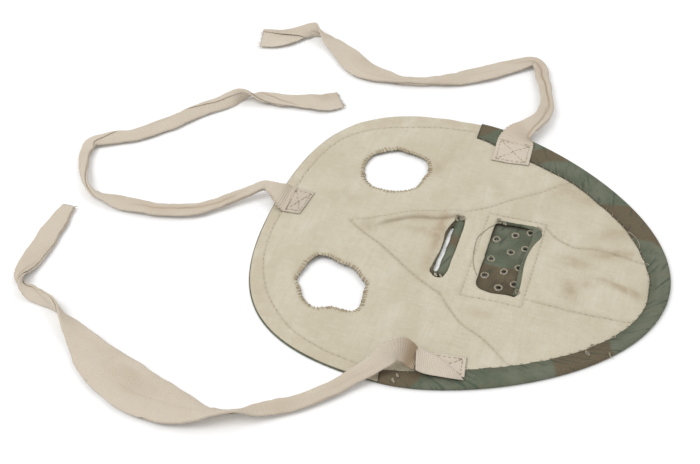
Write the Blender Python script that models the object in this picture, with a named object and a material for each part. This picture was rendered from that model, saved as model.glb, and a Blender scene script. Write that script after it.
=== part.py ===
"""A lined cloth face veil with eye holes, a nose slit, an eyelet mouth vent and three cloth ties.

It lies flat, lining side up. +X is the wearer's one cheek, +Y the forehead, -Y the chin, and
+Z points to the wearer's face. The origin is under the middle of the veil, on what it lies on.
Lengths in this file are millimetres until they reach Blender, which takes metres.
"""

import math

import bpy

MM = 0.001

# Heights of the cloth layers, low and high. Neighbouring layers keep a gap of 0.3 mm.
OUTER_Z = (0.0, 0.6)
LINING_Z = (0.9, 1.5)
HEM_Z = (1.8, 2.4)
SIDE_END_Z = (2.7, 3.5)
TOP_END_Z = (2.6, 3.4)
TURNED_END_Z = (3.8, 4.6)
BOX_STITCH_RISE = (0.3, 0.7)

# The veil's outline: half width, half length, and how full its arcs are.
HALF_WIDTH = 90.0
HALF_LENGTH = 95.5
WIDEST_Y = 14.0
FOREHEAD_FULLNESS = (63.6, 61.8)
CHIN_FULLNESS = (52.1, 34.5)
ARC_STEPS = 12
OUTLINE_SPACING = 4.0
SEAM_GAP = 0.15

# Seams of the panels, from the slit and the nose outwards.
NOSE_APEX = (-4.0, 54.0)
NOSE_SEAM_LEFT = [(-14.2, 34.7), (-20.4, 20.6), (-25.0, 9.4)]
NOSE_SEAM_RIGHT = [(6.7, 38.8), (14.1, 23.4), (20.5, 8.0)]
CHEEK_SEAM_LEFT = [(-33.5, 2.0), (-45.1, -9.9), (-53.4, -21.1), (-63.0, -34.5), (-70.2, -44.3)]
CHEEK_SEAM_RIGHT = [(24.8, 1.5), (28.6, -5.4), (40.2, -17.7), (55.9, -34.4), (68.0, -47.2)]
CHIN_SEAM_LEFT = [
    (-35.6, -12.0), (-34.5, -27.0), (-28.5, -41.0), (-26.6, -57.0), (-24.2, -79.0), (-22.5, -90.8),
]
CHIN_SEAM_RIGHT = [(27.2, -13.0), (26.4, -30.0), (22.9, -41.0), (18.4, -55.0), (18.0, -70.0), (15.5, -93.0)]

# The nose slit: its ends, the cut in the outer cloth and the wider cut in the lining.
SLIT_X = (-24.7, 20.0)
SLIT_OUTER_Y = (7.3, 9.1)
SLIT_LINING_Y = (3.3, 11.0)
LIP_DEPTH = (3.6, 1.6)
BAR_TACK_WIDTH = 1.6

# The mouth window in the lining, and the staggered vent eyelets in the outer cloth behind it.
WINDOW_X = (-25.5, 20.8)
WINDOW_Y = (-31.0, -10.0)
EYELET_PITCH = 12.0
EYELET_ROWS = [(-14.0, -16.0, 3), (-21.6, -22.0, 4), (-28.0, -18.4, 4)]
EYELET_RING_RADIUS = 1.9
EYELET_THREAD_RADIUS = 0.6
EYELET_FLATNESS = 0.5
EYELET_HOLE_RADIUS = 1.1
WINDOW_STITCH_MARGIN = 3.0

# The eye holes, each a smooth loop through these points.
EYE_RIGHT = [
    (35.0, 61.5), (26.0, 55.0), (25.0, 44.0), (32.0, 32.5), (44.0, 30.5), (54.0, 35.0), (56.0, 45.0),
    (53.5, 54.5), (47.0, 60.5),
]
EYE_LEFT = [
    (-40.0, 67.0), (-52.5, 63.5), (-60.0, 52.5), (-56.5, 44.5), (-55.0, 36.0), (-46.0, 34.0),
    (-35.5, 39.5), (-30.8, 50.0), (-29.5, 62.0),
]
WHIP_WIDTH = 2.0

# The turned hem round the chin: its inner edge, from the right cheek round to the left one.
HEM_INNER = [
    (77.5, 14.5), (73.5, 1.0), (64.5, -24.0), (56.0, -43.5), (45.0, -59.0), (30.0, -73.5),
    (15.0, -82.0), (2.0, -86.2), (-12.0, -86.4), (-24.0, -82.2), (-34.0, -76.0), (-45.0, -65.5),
    (-55.0, -53.0), (-65.0, -36.0), (-73.0, -19.0), (-80.0, -1.0), (-83.0, 14.0),
]
HEM_ENDS_Y = (14.5, 14.0)
FOREHEAD_STITCH_INSET = 7.5
THREAD_RADIUS = 0.25

# The sewn end of each tie, as the corners of its flat patch.
RIGHT_END = [(63.5, -16.6), (79.9, -15.6), (79.9, 3.0), (62.5, 2.4)]
LEFT_END = [(-66.5, -18.6), (-69.0, -0.7), (-80.4, -2.2), (-77.7, -20.4)]
LEFT_TURNED_END = [(-79.2, -19.6), (-69.8, -0.6), (-82.3, -0.6)]
TOP_END = [(-6.1, 80.6), (10.4, 78.8), (11.2, 88.9), (-6.5, 88.9)]
BOX_STITCH_INSET = 1.6
BOX_STITCH_WIDTH = 0.8

# Each tie's route, laid loose on the table: x, y, z, half width, and roll about its own line in degrees.
RIGHT_TIE = [
    (80.5, -6.3, 3.6, 9.0, 0), (82.0, -6.3, 4.0, 8.9, 0), (84.5, -6.5, 5.0, 8.3, 5),
    (89.0, -8.5, 6.4, 6.6, 22), (96.0, -12.0, 6.8, 5.0, 38), (105.0, -14.0, 6.4, 4.5, 40),
    (116.5, -14.0, 5.4, 4.4, 40), (128.0, -12.0, 4.6, 4.4, 35), (138.5, -8.5, 3.8, 4.2, 25),
    (146.5, -5.0, 3.2, 3.2, 10), (149.5, 0.0, 3.0, 3.2, 0), (145.5, 5.5, 2.8, 4.2, 10),
    (139.0, 13.0, 2.8, 5.2, 20), (127.5, 31.0, 3.2, 5.4, 30), (116.0, 50.0, 4.2, 4.2, 55),
    (112.0, 67.0, 3.3, 4.4, 40), (116.0, 84.5, 2.0, 6.8, 5), (129.5, 103.0, 1.8, 6.4, 0),
    (138.5, 118.5, 3.8, 4.2, -20), (138.0, 125.5, 4.4, 4.6, -20), (131.5, 137.5, 3.6, 5.2, -10),
    (122.5, 149.5, 2.0, 4.2, 0), (116.0, 153.0, 1.7, 2.8, 0),
]
TOP_TIE = [
    (2.4, 89.5, 3.4, 8.4, 0), (2.4, 91.0, 3.8, 8.2, 0), (2.4, 93.2, 4.8, 7.4, -6),
    (3.0, 97.0, 6.2, 5.2, -20), (2.8, 101.0, 6.6, 3.6, -35), (-3.0, 110.0, 4.8, 3.0, -42),
    (-12.0, 121.0, 3.2, 3.8, -20), (-20.0, 133.5, 2.5, 4.0, 0), (-24.0, 150.5, 1.9, 4.2, 0),
    (-25.5, 169.0, 1.9, 4.0, 0), (-23.5, 183.5, 2.8, 2.8, 15), (-19.5, 189.0, 3.4, 2.8, 30),
    (-4.5, 198.0, 3.4, 3.0, 30), (3.0, 201.0, 3.0, 2.6, 15), (9.5, 201.5, 2.6, 2.8, 0),
    (15.0, 197.5, 2.3, 3.8, 0), (25.0, 186.0, 1.9, 5.2, 0), (37.5, 172.5, 1.9, 5.0, 0),
    (52.5, 160.0, 2.2, 4.6, 10), (65.5, 147.5, 3.4, 4.6, 30), (72.5, 133.5, 3.6, 5.0, 25),
    (75.0, 119.0, 3.4, 4.8, 15), (78.5, 105.0, 2.0, 5.6, 0), (84.0, 91.5, 1.7, 5.2, 0),
]
LEFT_TIE = [
    (-76.0, 0.6, 4.5, 6.0, 0), (-76.0, 1.8, 4.7, 6.1, 0), (-76.2, 3.6, 6.4, 6.6, -22),
    (-78.0, 6.2, 8.8, 7.2, -50), (-80.6, 8.8, 9.6, 7.4, -60), (-83.2, 11.4, 8.4, 7.2, -40),
    (-86.6, 15.7, 6.2, 6.0, -20), (-91.5, 21.0, 4.2, 4.6, -8), (-98.0, 26.5, 3.0, 4.2, 0),
    (-109.5, 39.0, 2.8, 3.8, 5), (-119.5, 52.5, 3.8, 3.6, 25), (-127.0, 67.0, 3.6, 4.4, 25),
    (-130.5, 83.5, 2.8, 8.6, 10), (-128.5, 104.0, 2.3, 11.0, 4), (-120.5, 126.5, 2.5, 10.4, 6),
    (-107.0, 148.0, 3.4, 5.4, 15), (-97.0, 164.5, 3.2, 3.6, 15), (-93.0, 177.5, 2.6, 4.2, 0),
    (-91.0, 183.0, 2.5, 4.0, 0), (-87.0, 186.0, 2.5, 4.0, 0), (-81.0, 187.5, 2.3, 4.4, 0),
    (-65.5, 188.0, 2.0, 5.2, 0), (-47.5, 189.0, 1.8, 4.2, 0), (-39.5, 189.0, 1.7, 3.0, 0),
]

# Where each tie's sewn end stops and the tie starts to bend: its hinge.
TIE_HINGES = {"right": (80.2, -6.3, 4.6), "top": (2.4, 89.2, 4.6), "left": (-76.0, 0.2, 5.0)}
RIBBON_SPACING = 5.0
RIBBON_HALF_WIDTH = 8.0
RIBBON_HALF_THICKNESS = 0.6
RIBBON_EDGE_RESOLUTION = 1

# Colours, as linear RGB, and roughness.
CLOTH = {
    "outer_cloth": ((0.16, 0.17, 0.11), 0.9),
    "lining_cloth": ((0.62, 0.56, 0.42), 0.92),
    "hem_cloth": ((0.15, 0.17, 0.12), 0.9),
    "tie_cloth": ((0.62, 0.53, 0.41), 0.9),
    "thread": ((0.55, 0.48, 0.36), 0.8),
}


def clear_scene():
    for obj in list(bpy.data.objects):
        bpy.data.objects.remove(obj)


def add_material(obj, kind):
    """The node's own material, in the colour of its kind of cloth or thread."""
    colour, roughness = CLOTH[kind]
    material = bpy.data.materials.new(f"{obj.name}_{kind}")
    material.use_nodes = True
    shader = material.node_tree.nodes["Principled BSDF"]
    shader.inputs["Base Color"].default_value = (*colour, 1.0)
    shader.inputs["Roughness"].default_value = roughness
    shader.inputs["Metallic"].default_value = 0.0
    obj.data.materials.append(material)


def bezier(start, handle_a, handle_b, end, steps):
    """Points along one cubic arc, without its end point."""
    points = []
    for i in range(steps):
        t = i / steps
        a, b, c, d = (1 - t) ** 3, 3 * t * (1 - t) ** 2, 3 * t * t * (1 - t), t**3
        corners = zip(start, handle_a, handle_b, end)
        points.append(tuple(a * p + b * q + c * r + d * s for p, q, r, s in corners))
    return points


def smooth_line(route, spacing, closed=False):
    """A smooth curve through the route's points, which may carry more values after x and y.

    Each span's bend is weighted by its neighbours' lengths, and it takes a point about every spacing.
    """
    count = len(route)
    size = min(len(route[0]), 3)

    def gap(i, k):
        return math.dist(route[i % count][:size], route[k % count][:size])

    def slope(i):
        if not closed and i in (0, count - 1):
            near = 1 if i == 0 else count - 2
            sign = 1 if i == 0 else -1
            return [sign * (q - p) / gap(i, near) for p, q in zip(route[i], route[near])]
        before, after = gap(i - 1, i), gap(i, i + 1)
        points = zip(route[(i - 1) % count], route[i % count], route[(i + 1) % count])
        span = before + after
        return [((q - p) / before * after + (r - q) / after * before) / span for p, q, r in points]

    line = []
    for i in range(count if closed else count - 1):
        start, end, length = route[i], route[(i + 1) % count], gap(i, i + 1)
        leave, arrive = slope(i), slope((i + 1) % count)
        steps = max(1, round(length / spacing))
        for j in range(steps):
            t = j / steps
            a, b = 2 * t**3 - 3 * t * t + 1, (t**3 - 2 * t * t + t) * length
            c, d = 3 * t * t - 2 * t**3, (t**3 - t * t) * length
            line.append(tuple(a * p + b * u + c * q + d * v for p, u, q, v in zip(start, leave, end, arrive)))
    if not closed:
        line.append(tuple(route[-1]))
    return line


def inset_loop(loop, distance):
    """The loop moved towards its inside by a distance. The loop runs counterclockwise."""
    moved = []
    for i, (x, y) in enumerate(loop):
        before, after = loop[i - 1], loop[(i + 1) % len(loop)]
        a = math.atan2(y - before[1], x - before[0])
        b = math.atan2(after[1] - y, after[0] - x)
        turn = (b - a + math.pi) % (2 * math.pi) - math.pi
        middle = a + turn / 2 + math.pi / 2
        reach = distance / max(math.cos(turn / 2), 0.3)
        moved.append((x + reach * math.cos(middle), y + reach * math.sin(middle)))
    return moved


def veil_outline():
    """The veil's edge, counterclockwise from the chin."""
    wide, high = FOREHEAD_FULLNESS
    chin_wide, chin_high = CHIN_FULLNESS
    chin, cheek, top = (0.0, -HALF_LENGTH), (HALF_WIDTH, WIDEST_Y), (0.0, HALF_LENGTH)
    right = bezier(chin, (chin_wide, -HALF_LENGTH), (HALF_WIDTH, WIDEST_Y - chin_high), cheek, ARC_STEPS)
    right += bezier(cheek, (HALF_WIDTH, WIDEST_Y + high), (wide, HALF_LENGTH), top, ARC_STEPS)
    left = [(-x, y) for x, y in reversed(right[1:])]
    return right + [top] + left


def outline_between(loop, start, end):
    """The part of a closed loop that runs counterclockwise between the points nearest to start and end."""
    nearest = [min(range(len(loop)), key=lambda i: math.dist(loop[i], point)) for point in (start, end)]
    first, last = nearest
    count = (last - first) % len(loop)
    return [loop[(first + k) % len(loop)] for k in range(1, count)]


def link(obj, collection, kind):
    add_material(obj, kind)
    collection.objects.link(obj)
    return obj


def plate(name, loops, heights, collection, kind):
    """A flat piece of cloth: the first loop is its edge and the others are cut out of it."""
    curve = bpy.data.curves.new(name, "CURVE")
    curve.dimensions = "2D"
    curve.fill_mode = "BOTH"
    curve.extrude = (heights[1] - heights[0]) / 2 * MM
    for loop in loops:
        spline = curve.splines.new("POLY")
        spline.points.add(len(loop) - 1)
        for point, (x, y) in zip(spline.points, loop):
            point.co = (x * MM, y * MM, 0.0, 1.0)
        spline.use_cyclic_u = True
    obj = bpy.data.objects.new(name, curve)
    obj.location.z = (heights[0] + heights[1]) / 2 * MM
    return link(obj, collection, kind)


def thread(name, line, collection, kind, closed=False):
    """A row of stitches, as one thin round thread that lies on the lining."""
    curve = bpy.data.curves.new(name, "CURVE")
    curve.dimensions = "3D"
    curve.bevel_depth = THREAD_RADIUS * MM
    curve.bevel_resolution = 0
    curve.use_fill_caps = True
    spline = curve.splines.new("POLY")
    spline.points.add(len(line) - 1)
    for point, (x, y) in zip(spline.points, line):
        point.co = (x * MM, y * MM, 0.0, 1.0)
    spline.use_cyclic_u = closed
    obj = bpy.data.objects.new(name, curve)
    obj.location.z = (LINING_Z[1] + 0.3 + THREAD_RADIUS) * MM
    return link(obj, collection, kind)


def ribbon(name, route, hinge, collection, kind):
    """A tie: a flat ribbon along its route, whose points set its place, half width and roll.

    It hangs on an empty at its hinge, where it leaves the veil, so its own points start from there.
    """
    pivot = bpy.data.objects.new(f"{name}_hinge", None)
    pivot.location = [c * MM for c in hinge]
    collection.objects.link(pivot)
    curve = bpy.data.curves.new(name, "CURVE")
    curve.dimensions = "3D"
    curve.twist_mode = "Z_UP"
    curve.extrude = (RIBBON_HALF_WIDTH - RIBBON_HALF_THICKNESS) * MM
    curve.bevel_depth = RIBBON_HALF_THICKNESS * MM
    curve.bevel_resolution = RIBBON_EDGE_RESOLUTION
    curve.use_fill_caps = True
    line = smooth_line(route, RIBBON_SPACING)
    spline = curve.splines.new("POLY")
    spline.points.add(len(line) - 1)
    for point, (x, y, z, half_width, roll) in zip(spline.points, line):
        point.co = ((x - hinge[0]) * MM, (y - hinge[1]) * MM, (z - hinge[2]) * MM, 1.0)
        point.radius = half_width / RIBBON_HALF_WIDTH
        point.tilt = math.radians(90 - roll)
    obj = bpy.data.objects.new(name, curve)
    obj.parent = pivot
    return link(obj, collection, kind)


def eyelet(name, x, y, collection, kind):
    """A worked eyelet's ring of thread, on the outer cloth."""
    bpy.ops.mesh.primitive_torus_add(
        major_segments=12, minor_segments=6,
        major_radius=EYELET_RING_RADIUS * MM, minor_radius=EYELET_THREAD_RADIUS * MM,
        location=(x * MM, y * MM, (OUTER_Z[1] + 0.3 + EYELET_THREAD_RADIUS * EYELET_FLATNESS) * MM),
    )
    obj = bpy.context.object
    obj.scale.z = EYELET_FLATNESS
    obj.name = name
    obj.data.name = name
    for used in list(obj.users_collection):
        used.objects.unlink(obj)
    return link(obj, collection, kind)


def box_stitch(name, corners, base, collection, kind):
    """The stitched box and cross that hold a tie's end: a flat frame with four triangular gaps."""
    outer = inset_loop(corners, BOX_STITCH_INSET)
    inner = inset_loop(corners, BOX_STITCH_INSET + BOX_STITCH_WIDTH)
    centre = tuple(sum(c[k] for c in inner) / len(inner) for k in (0, 1))
    gaps = []
    for i in range(len(inner)):
        triangle = [inner[i], inner[(i + 1) % len(inner)], centre]
        gaps.append(inset_loop(triangle, BOX_STITCH_WIDTH / 2))
    heights = (base + BOX_STITCH_RISE[0], base + BOX_STITCH_RISE[1])
    return plate(name, [outer, *gaps], heights, collection, kind)


def vent_centres():
    """The places of the vent eyelets, row by row."""
    return [(first + EYELET_PITCH * k, y) for y, first, count in EYELET_ROWS for k in range(count)]


def circle(x, y, radius, sides):
    turn = 2 * math.pi / sides
    return [(x + radius * math.cos(i * turn), y + radius * math.sin(i * turn)) for i in range(sides)]


def rectangle(xs, ys):
    return [(xs[0], ys[0]), (xs[1], ys[0]), (xs[1], ys[1]), (xs[0], ys[1])]


def upper_panel_loop(outline):
    """The forehead and cheeks, above the cheek seams and round the nose gusset."""
    left = [*CHEEK_SEAM_LEFT[::-1], *NOSE_SEAM_LEFT[::-1]]
    right = [*NOSE_SEAM_RIGHT, *CHEEK_SEAM_RIGHT]
    return outline_between(outline, CHEEK_SEAM_RIGHT[-1], CHEEK_SEAM_LEFT[-1]) + left + [NOSE_APEX] + right


def gusset_loop(slit_edge):
    """The nose gusset, from its apex down to the slit."""
    left = [p for p in NOSE_SEAM_LEFT if p[1] > slit_edge]
    right = [p for p in NOSE_SEAM_RIGHT if p[1] > slit_edge]
    return [NOSE_APEX, *left, (SLIT_X[0], slit_edge), (SLIT_X[1] - 0.6, slit_edge), *right[::-1]]


def chin_side_loop(outline, cheek_seam, chin_seam, side):
    """The piece between a cheek seam and the chin seam beside it."""
    if side > 0:
        edge = outline_between(outline, chin_seam[-1], cheek_seam[-1])
        return [cheek_seam[0], *chin_seam] + edge + cheek_seam[:0:-1]
    return [*cheek_seam] + outline_between(outline, cheek_seam[-1], chin_seam[-1]) + chin_seam[::-1]


def chin_centre_loop(outline, slit_edge):
    """The middle strip from the slit down to the chin."""
    corner_left, corner_right = NOSE_SEAM_LEFT[-1], NOSE_SEAM_RIGHT[-1]
    slit_top = [(SLIT_X[1], slit_edge), (SLIT_X[0], slit_edge)]
    top = [CHEEK_SEAM_RIGHT[0], (SLIT_X[1], corner_right[1] - 0.4)] + slit_top
    if slit_edge < corner_left[1] - 3:
        top.append((SLIT_X[0], corner_left[1] - 0.8))
    bottom = outline_between(outline, CHIN_SEAM_LEFT[-1], CHIN_SEAM_RIGHT[-1])
    return [CHEEK_SEAM_LEFT[0], *CHIN_SEAM_LEFT, *bottom, *CHIN_SEAM_RIGHT[::-1], *top]


def make_shell(prefix, heights, slit_edges, window, collection, kind):
    """The five panels of one layer, each drawn in by half the seam gap."""
    outline = veil_outline()
    eyes = [smooth_line(eye, OUTLINE_SPACING, closed=True) for eye in (EYE_RIGHT, EYE_LEFT)]
    loops = {
        "upper_panel": [upper_panel_loop(outline), *eyes],
        "nose_gusset": [gusset_loop(slit_edges[1])],
        "chin_right_panel": [chin_side_loop(outline, CHEEK_SEAM_RIGHT, CHIN_SEAM_RIGHT, 1)],
        "chin_left_panel": [chin_side_loop(outline, CHEEK_SEAM_LEFT, CHIN_SEAM_LEFT, -1)],
        "chin_centre_panel": [chin_centre_loop(outline, slit_edges[0]), *window],
    }
    for name, (edge, *holes) in loops.items():
        plate(f"{prefix}_{name}", [inset_loop(edge, SEAM_GAP), *holes], heights, collection, kind)


def make_slit(collection, cloth, sewing):
    """The turned edges of the outer cloth along the nose slit, and the bar tacks at its ends."""
    ends = (SLIT_X[0] + 0.4, SLIT_X[1] - 0.4)
    lower = rectangle(ends, (SLIT_LINING_Y[0] + 0.3, SLIT_LINING_Y[0] + 0.3 + LIP_DEPTH[0]))
    upper_y = SLIT_LINING_Y[1] - 0.3
    upper = rectangle((ends[0], ends[1] - 0.8), (upper_y - LIP_DEPTH[1], upper_y))
    plate("nose_slit_lower_lip", [lower], LINING_Z, collection, cloth)
    plate("nose_slit_upper_lip", [upper], LINING_Z, collection, cloth)
    for name, x in (("left", ends[0] + 0.6), ("right", ends[1] - 0.9 - BAR_TACK_WIDTH)):
        tack = rectangle((x, x + BAR_TACK_WIDTH), (SLIT_LINING_Y[0] + 0.6, SLIT_LINING_Y[1] - 0.6))
        plate(f"nose_slit_{name}_bar_tack", [tack], HEM_Z, collection, sewing)


def make_window(collection, cloth, sewing):
    """The window's turned flap of outer cloth, its stitching and the vent's worked eyelets."""
    (x0, x1), (y0, y1) = WINDOW_X, WINDOW_Y
    flap = [
        (x0 + 0.5, y0 - 1.4), (x1 + 1.2, y0 - 1.4), (x1 + 1.2, y1 + 0.6),
        (x1 - 1.2, y1 + 0.6), (x1 - 1.2, y0 + 2.4), (x0 + 0.5, y0 + 2.0),
    ]
    plate("mouth_window_flap", [flap], HEM_Z, collection, cloth)
    margin = WINDOW_STITCH_MARGIN
    stitched = rectangle((x0 - margin, x1 + margin), (y0 - margin, y1 + margin))
    thread("mouth_window_stitch", stitched, collection, sewing, closed=True)
    for number, (x, y) in enumerate(vent_centres(), start=1):
        eyelet(f"mouth_eyelet_{number:02d}", x, y, collection, sewing)


def make_hem(collection, cloth, sewing):
    """The hem that is turned over the lining round the chin, and the thread that holds its edge down."""
    inner = smooth_line(HEM_INNER, 10.0)
    right_end, left_end = (HALF_WIDTH, HEM_ENDS_Y[0]), (-HALF_WIDTH, HEM_ENDS_Y[1])
    outer = [left_end, *outline_between(veil_outline(), left_end, right_end), right_end]
    plate("chin_hem", [inset_loop(outer + inner, SEAM_GAP)], HEM_Z, collection, cloth)
    along = inset_loop([*outer, *inner], -0.7)[len(outer) + 1 : -1]
    thread("hem_slip_stitch", along, collection, sewing)


def make_seam_threads(collection, sewing):
    """The rows of stitches on the seams and along the forehead's edge."""
    edge = inset_loop(veil_outline(), FOREHEAD_STITCH_INSET)
    forehead = outline_between(edge, (80.0, 16.0), (-80.0, 16.0))
    thread("forehead_edge_stitch", forehead, collection, sewing)
    thread("nose_seam_stitch_left", [NOSE_APEX, *NOSE_SEAM_LEFT[:-1]], collection, sewing)
    thread("nose_seam_stitch_right", [(-3.0, 53.0), *NOSE_SEAM_RIGHT[:-1]], collection, sewing)
    thread("cheek_seam_stitch_left", CHEEK_SEAM_LEFT[:-1], collection, sewing)
    thread("cheek_seam_stitch_right", CHEEK_SEAM_RIGHT[:-1], collection, sewing)
    thread("chin_seam_stitch_left", CHIN_SEAM_LEFT[2:-1], collection, sewing)
    thread("chin_seam_stitch_right", CHIN_SEAM_RIGHT[2:-1], collection, sewing)


def make_ties(collection, cloth, sewing):
    """Each tie's sewn end with its box stitch, and the free tie that leaves it at the hinge line."""
    ends = (("right", RIGHT_END, SIDE_END_Z), ("left", LEFT_END, SIDE_END_Z), ("top", TOP_END, TOP_END_Z))
    for name, corners, heights in ends:
        plate(f"{name}_tie_sewn_end", [corners], heights, collection, cloth)
    plate("left_tie_turned_end", [LEFT_TURNED_END], TURNED_END_Z, collection, cloth)
    box_stitch("right_tie_box_stitch", RIGHT_END, SIDE_END_Z[1], collection, sewing)
    box_stitch("top_tie_box_stitch", TOP_END, TOP_END_Z[1], collection, sewing)
    for side, route in (("right", RIGHT_TIE), ("top", TOP_TIE), ("left", LEFT_TIE)):
        ribbon(f"{side}_tie", route, TIE_HINGES[side], collection, cloth)


def make_eye_stitches(collection, sewing):
    """The whip stitches round each eye hole, as a ring on the lining."""
    for name, eye in (("right", EYE_RIGHT), ("left", EYE_LEFT)):
        hole = smooth_line(eye, OUTLINE_SPACING, closed=True)
        ring = inset_loop(hole, -WHIP_WIDTH)
        plate(f"{name}_eye_whip_stitch", [ring, hole], HEM_Z, collection, sewing)


def make_veil():
    clear_scene()
    collection = bpy.data.collections.new("face_veil")
    bpy.context.scene.collection.children.link(collection)
    vents = [circle(x, y, EYELET_HOLE_RADIUS, 8) for x, y in vent_centres()]
    make_shell("outer", OUTER_Z, SLIT_OUTER_Y, vents, collection, "outer_cloth")
    window = [rectangle(WINDOW_X, WINDOW_Y)]
    make_shell("lining", LINING_Z, SLIT_LINING_Y, window, collection, "lining_cloth")
    make_slit(collection, "hem_cloth", "thread")
    make_window(collection, "hem_cloth", "thread")
    make_hem(collection, "hem_cloth", "thread")
    make_seam_threads(collection, "thread")
    make_eye_stitches(collection, "thread")
    make_ties(collection, "tie_cloth", "thread")


make_veil()
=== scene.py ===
"""The looks of a lined cloth face veil with three ties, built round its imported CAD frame.

Lengths are millimetres until a mesh is made. x runs from cheek to cheek, y from chin to forehead, z up.
"""

import math

import bmesh
import bpy
import numpy as np
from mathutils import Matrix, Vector


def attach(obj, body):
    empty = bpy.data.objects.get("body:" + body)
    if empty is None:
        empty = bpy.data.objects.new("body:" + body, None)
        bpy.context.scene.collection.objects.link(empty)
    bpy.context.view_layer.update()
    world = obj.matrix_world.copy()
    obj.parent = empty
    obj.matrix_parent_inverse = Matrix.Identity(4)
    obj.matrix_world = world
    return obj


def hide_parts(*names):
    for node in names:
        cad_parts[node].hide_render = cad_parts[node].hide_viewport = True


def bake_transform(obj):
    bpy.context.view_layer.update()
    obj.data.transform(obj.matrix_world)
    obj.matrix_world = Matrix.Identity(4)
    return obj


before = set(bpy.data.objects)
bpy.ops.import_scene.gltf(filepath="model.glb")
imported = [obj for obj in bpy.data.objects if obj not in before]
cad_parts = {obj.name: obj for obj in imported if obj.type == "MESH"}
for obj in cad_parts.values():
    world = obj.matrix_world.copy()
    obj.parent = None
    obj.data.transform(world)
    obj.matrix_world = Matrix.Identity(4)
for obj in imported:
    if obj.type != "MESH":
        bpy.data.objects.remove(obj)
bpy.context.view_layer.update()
MM = 0.001
rng = np.random.default_rng(7)

# ---------------------------------------------------------------- the design's own lines, as in the CAD

EYE_RIGHT = [(35, 61.5), (26, 55), (25, 44), (32, 32.5), (44, 30.5), (54, 35), (56, 45), (53.5, 54.5), (47, 60.5)]
EYE_LEFT = [
    (-40, 67), (-52.5, 63.5), (-60, 52.5), (-56.5, 44.5), (-55, 36), (-46, 34), (-35.5, 39.5), (-30.8, 50),
    (-29.5, 62),
]
NOSE_LEFT = [(-1.2, 56.5), (-6.2, 49.8), (-12.8, 37.6), (-21.2, 25.2), (-26.4, 17.2), (-30.4, 9.7), (-34.4, 2.3)]
NOSE_RIGHT = [(-1.2, 56.5), (3.5, 46.2), (8.4, 37.6), (13.1, 29), (17.4, 18.5), (20.2, 10.4), (21.5, 6)]
NOSE_FOLD = [
    (-4.4, 47.9), (-2, 44.4), (2.2, 40.7), (5, 36.6), (8.7, 31), (11.2, 25.1), (12.6, 18.8), (14.5, 13), (17.3, 8.6),
]
CHEEK_LEFT = [(-34.4, 2.3), (-39.3, -2.1), (-47.8, -10.5), (-53.4, -21.1), (-63, -34.5), (-70.2, -44.3)]
CHEEK_RIGHT = [(21.5, 6), (27.1, -3.2), (36.3, -13.5), (44.5, -24.1), (54.3, -34.6), (68, -47.2)]
CHIN_LEFT = [(-26.1, -34.3), (-26.1, -44), (-26, -55.2), (-25.4, -66.2), (-23.5, -83.5), (-22.5, -90.8)]
CHIN_RIGHT = [(22.5, -34.3), (16.1, -42.3), (14.1, -49.8), (15.5, -58.9), (15.3, -70.7), (14, -84.7), (13.6, -92)]
FACING = [(24.6, -6.2), (24.6, -34.3), (-31.2, -34.3), (-31.8, -6.2)]
FOREHEAD = [
    (-84.5, 15), (-83.5, 28), (-80.5, 44), (-74.2, 59.5), (-67, 68.6), (-57.2, 77.3), (-44.1, 84.2), (-33.8, 87.5),
    (-22.7, 89.3), (-8.3, 89.9), (10, 89.6), (31.5, 87.5), (46, 84), (58.2, 77.6), (67.9, 66.5), (74.8, 51),
    (80, 34.4), (82, 22), (82.4, 15),
]
WINDOW = [
    (-26.4, -29.8), (-25.6, -30.6), (-18, -30.4), (-8, -29.8), (2, -29.8), (8, -30.8), (13, -32.2), (18.6, -32.4),
    (19.8, -31.4), (20, -22), (19.4, -11), (18.4, -10.2), (8, -10.4), (-8, -10.8), (-22, -11), (-24.4, -11.6),
    (-26.2, -13.6), (-26.6, -20),
]
SLIT = [
    (-25.2, 7.4), (-24.6, 4.2), (-21, 3), (-12, 2.8), (-3, 2.7), (5, 2.8), (11, 2.9), (16, 3.8), (18.6, 5.6),
    (17.6, 7.4), (13.5, 8.6), (9, 9.9), (4.3, 10.7), (-1.5, 10.1), (-7.3, 9.9), (-13, 10.6), (-17.9, 11),
    (-22.5, 10.8),
]
SLIT_GAP = [
    (-20.6, 8.8), (-19, 7.2), (-14, 6.6), (-7, 6.6), (0, 6.7), (6, 6.9), (11, 7.2), (12.6, 7.7), (10, 9), (5, 9.6),
    (-2, 9.6), (-10, 9.8), (-16, 10), (-19.4, 9.9),
]
EYELETS = [
    (-16.1, -13.9), (-5, -14.2), (8.5, -13.6), (-22.2, -21.8), (-11.6, -21.8), (1.7, -22), (13.5, -21.5),
    (-18.2, -28), (-7.4, -27.8), (5.8, -28), (17.2, -28),
]
HEM_INNER = [
    (77.5, 13.6), (73.5, 1), (64.5, -24), (56, -43.5), (45, -59), (30, -73.5), (15, -82), (2, -86.2), (-12, -86.4),
    (-24, -82.2), (-34, -76), (-45, -65.5), (-55, -53), (-65, -36), (-73, -19), (-80, -1), (-84.2, 15),
]
RIGHT_END = [(63.5, -16.6), (79.9, -15.6), (79.9, 3), (62.4, 2.4)]
LEFT_END = [(-66.5, -18.6), (-69, -0.7), (-80.4, -2.2), (-77.7, -20.4)]
TOP_END = [(10.4, 78.8), (11.2, 88.9), (-6.5, 88.9), (-6.1, 80.6)]

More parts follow.
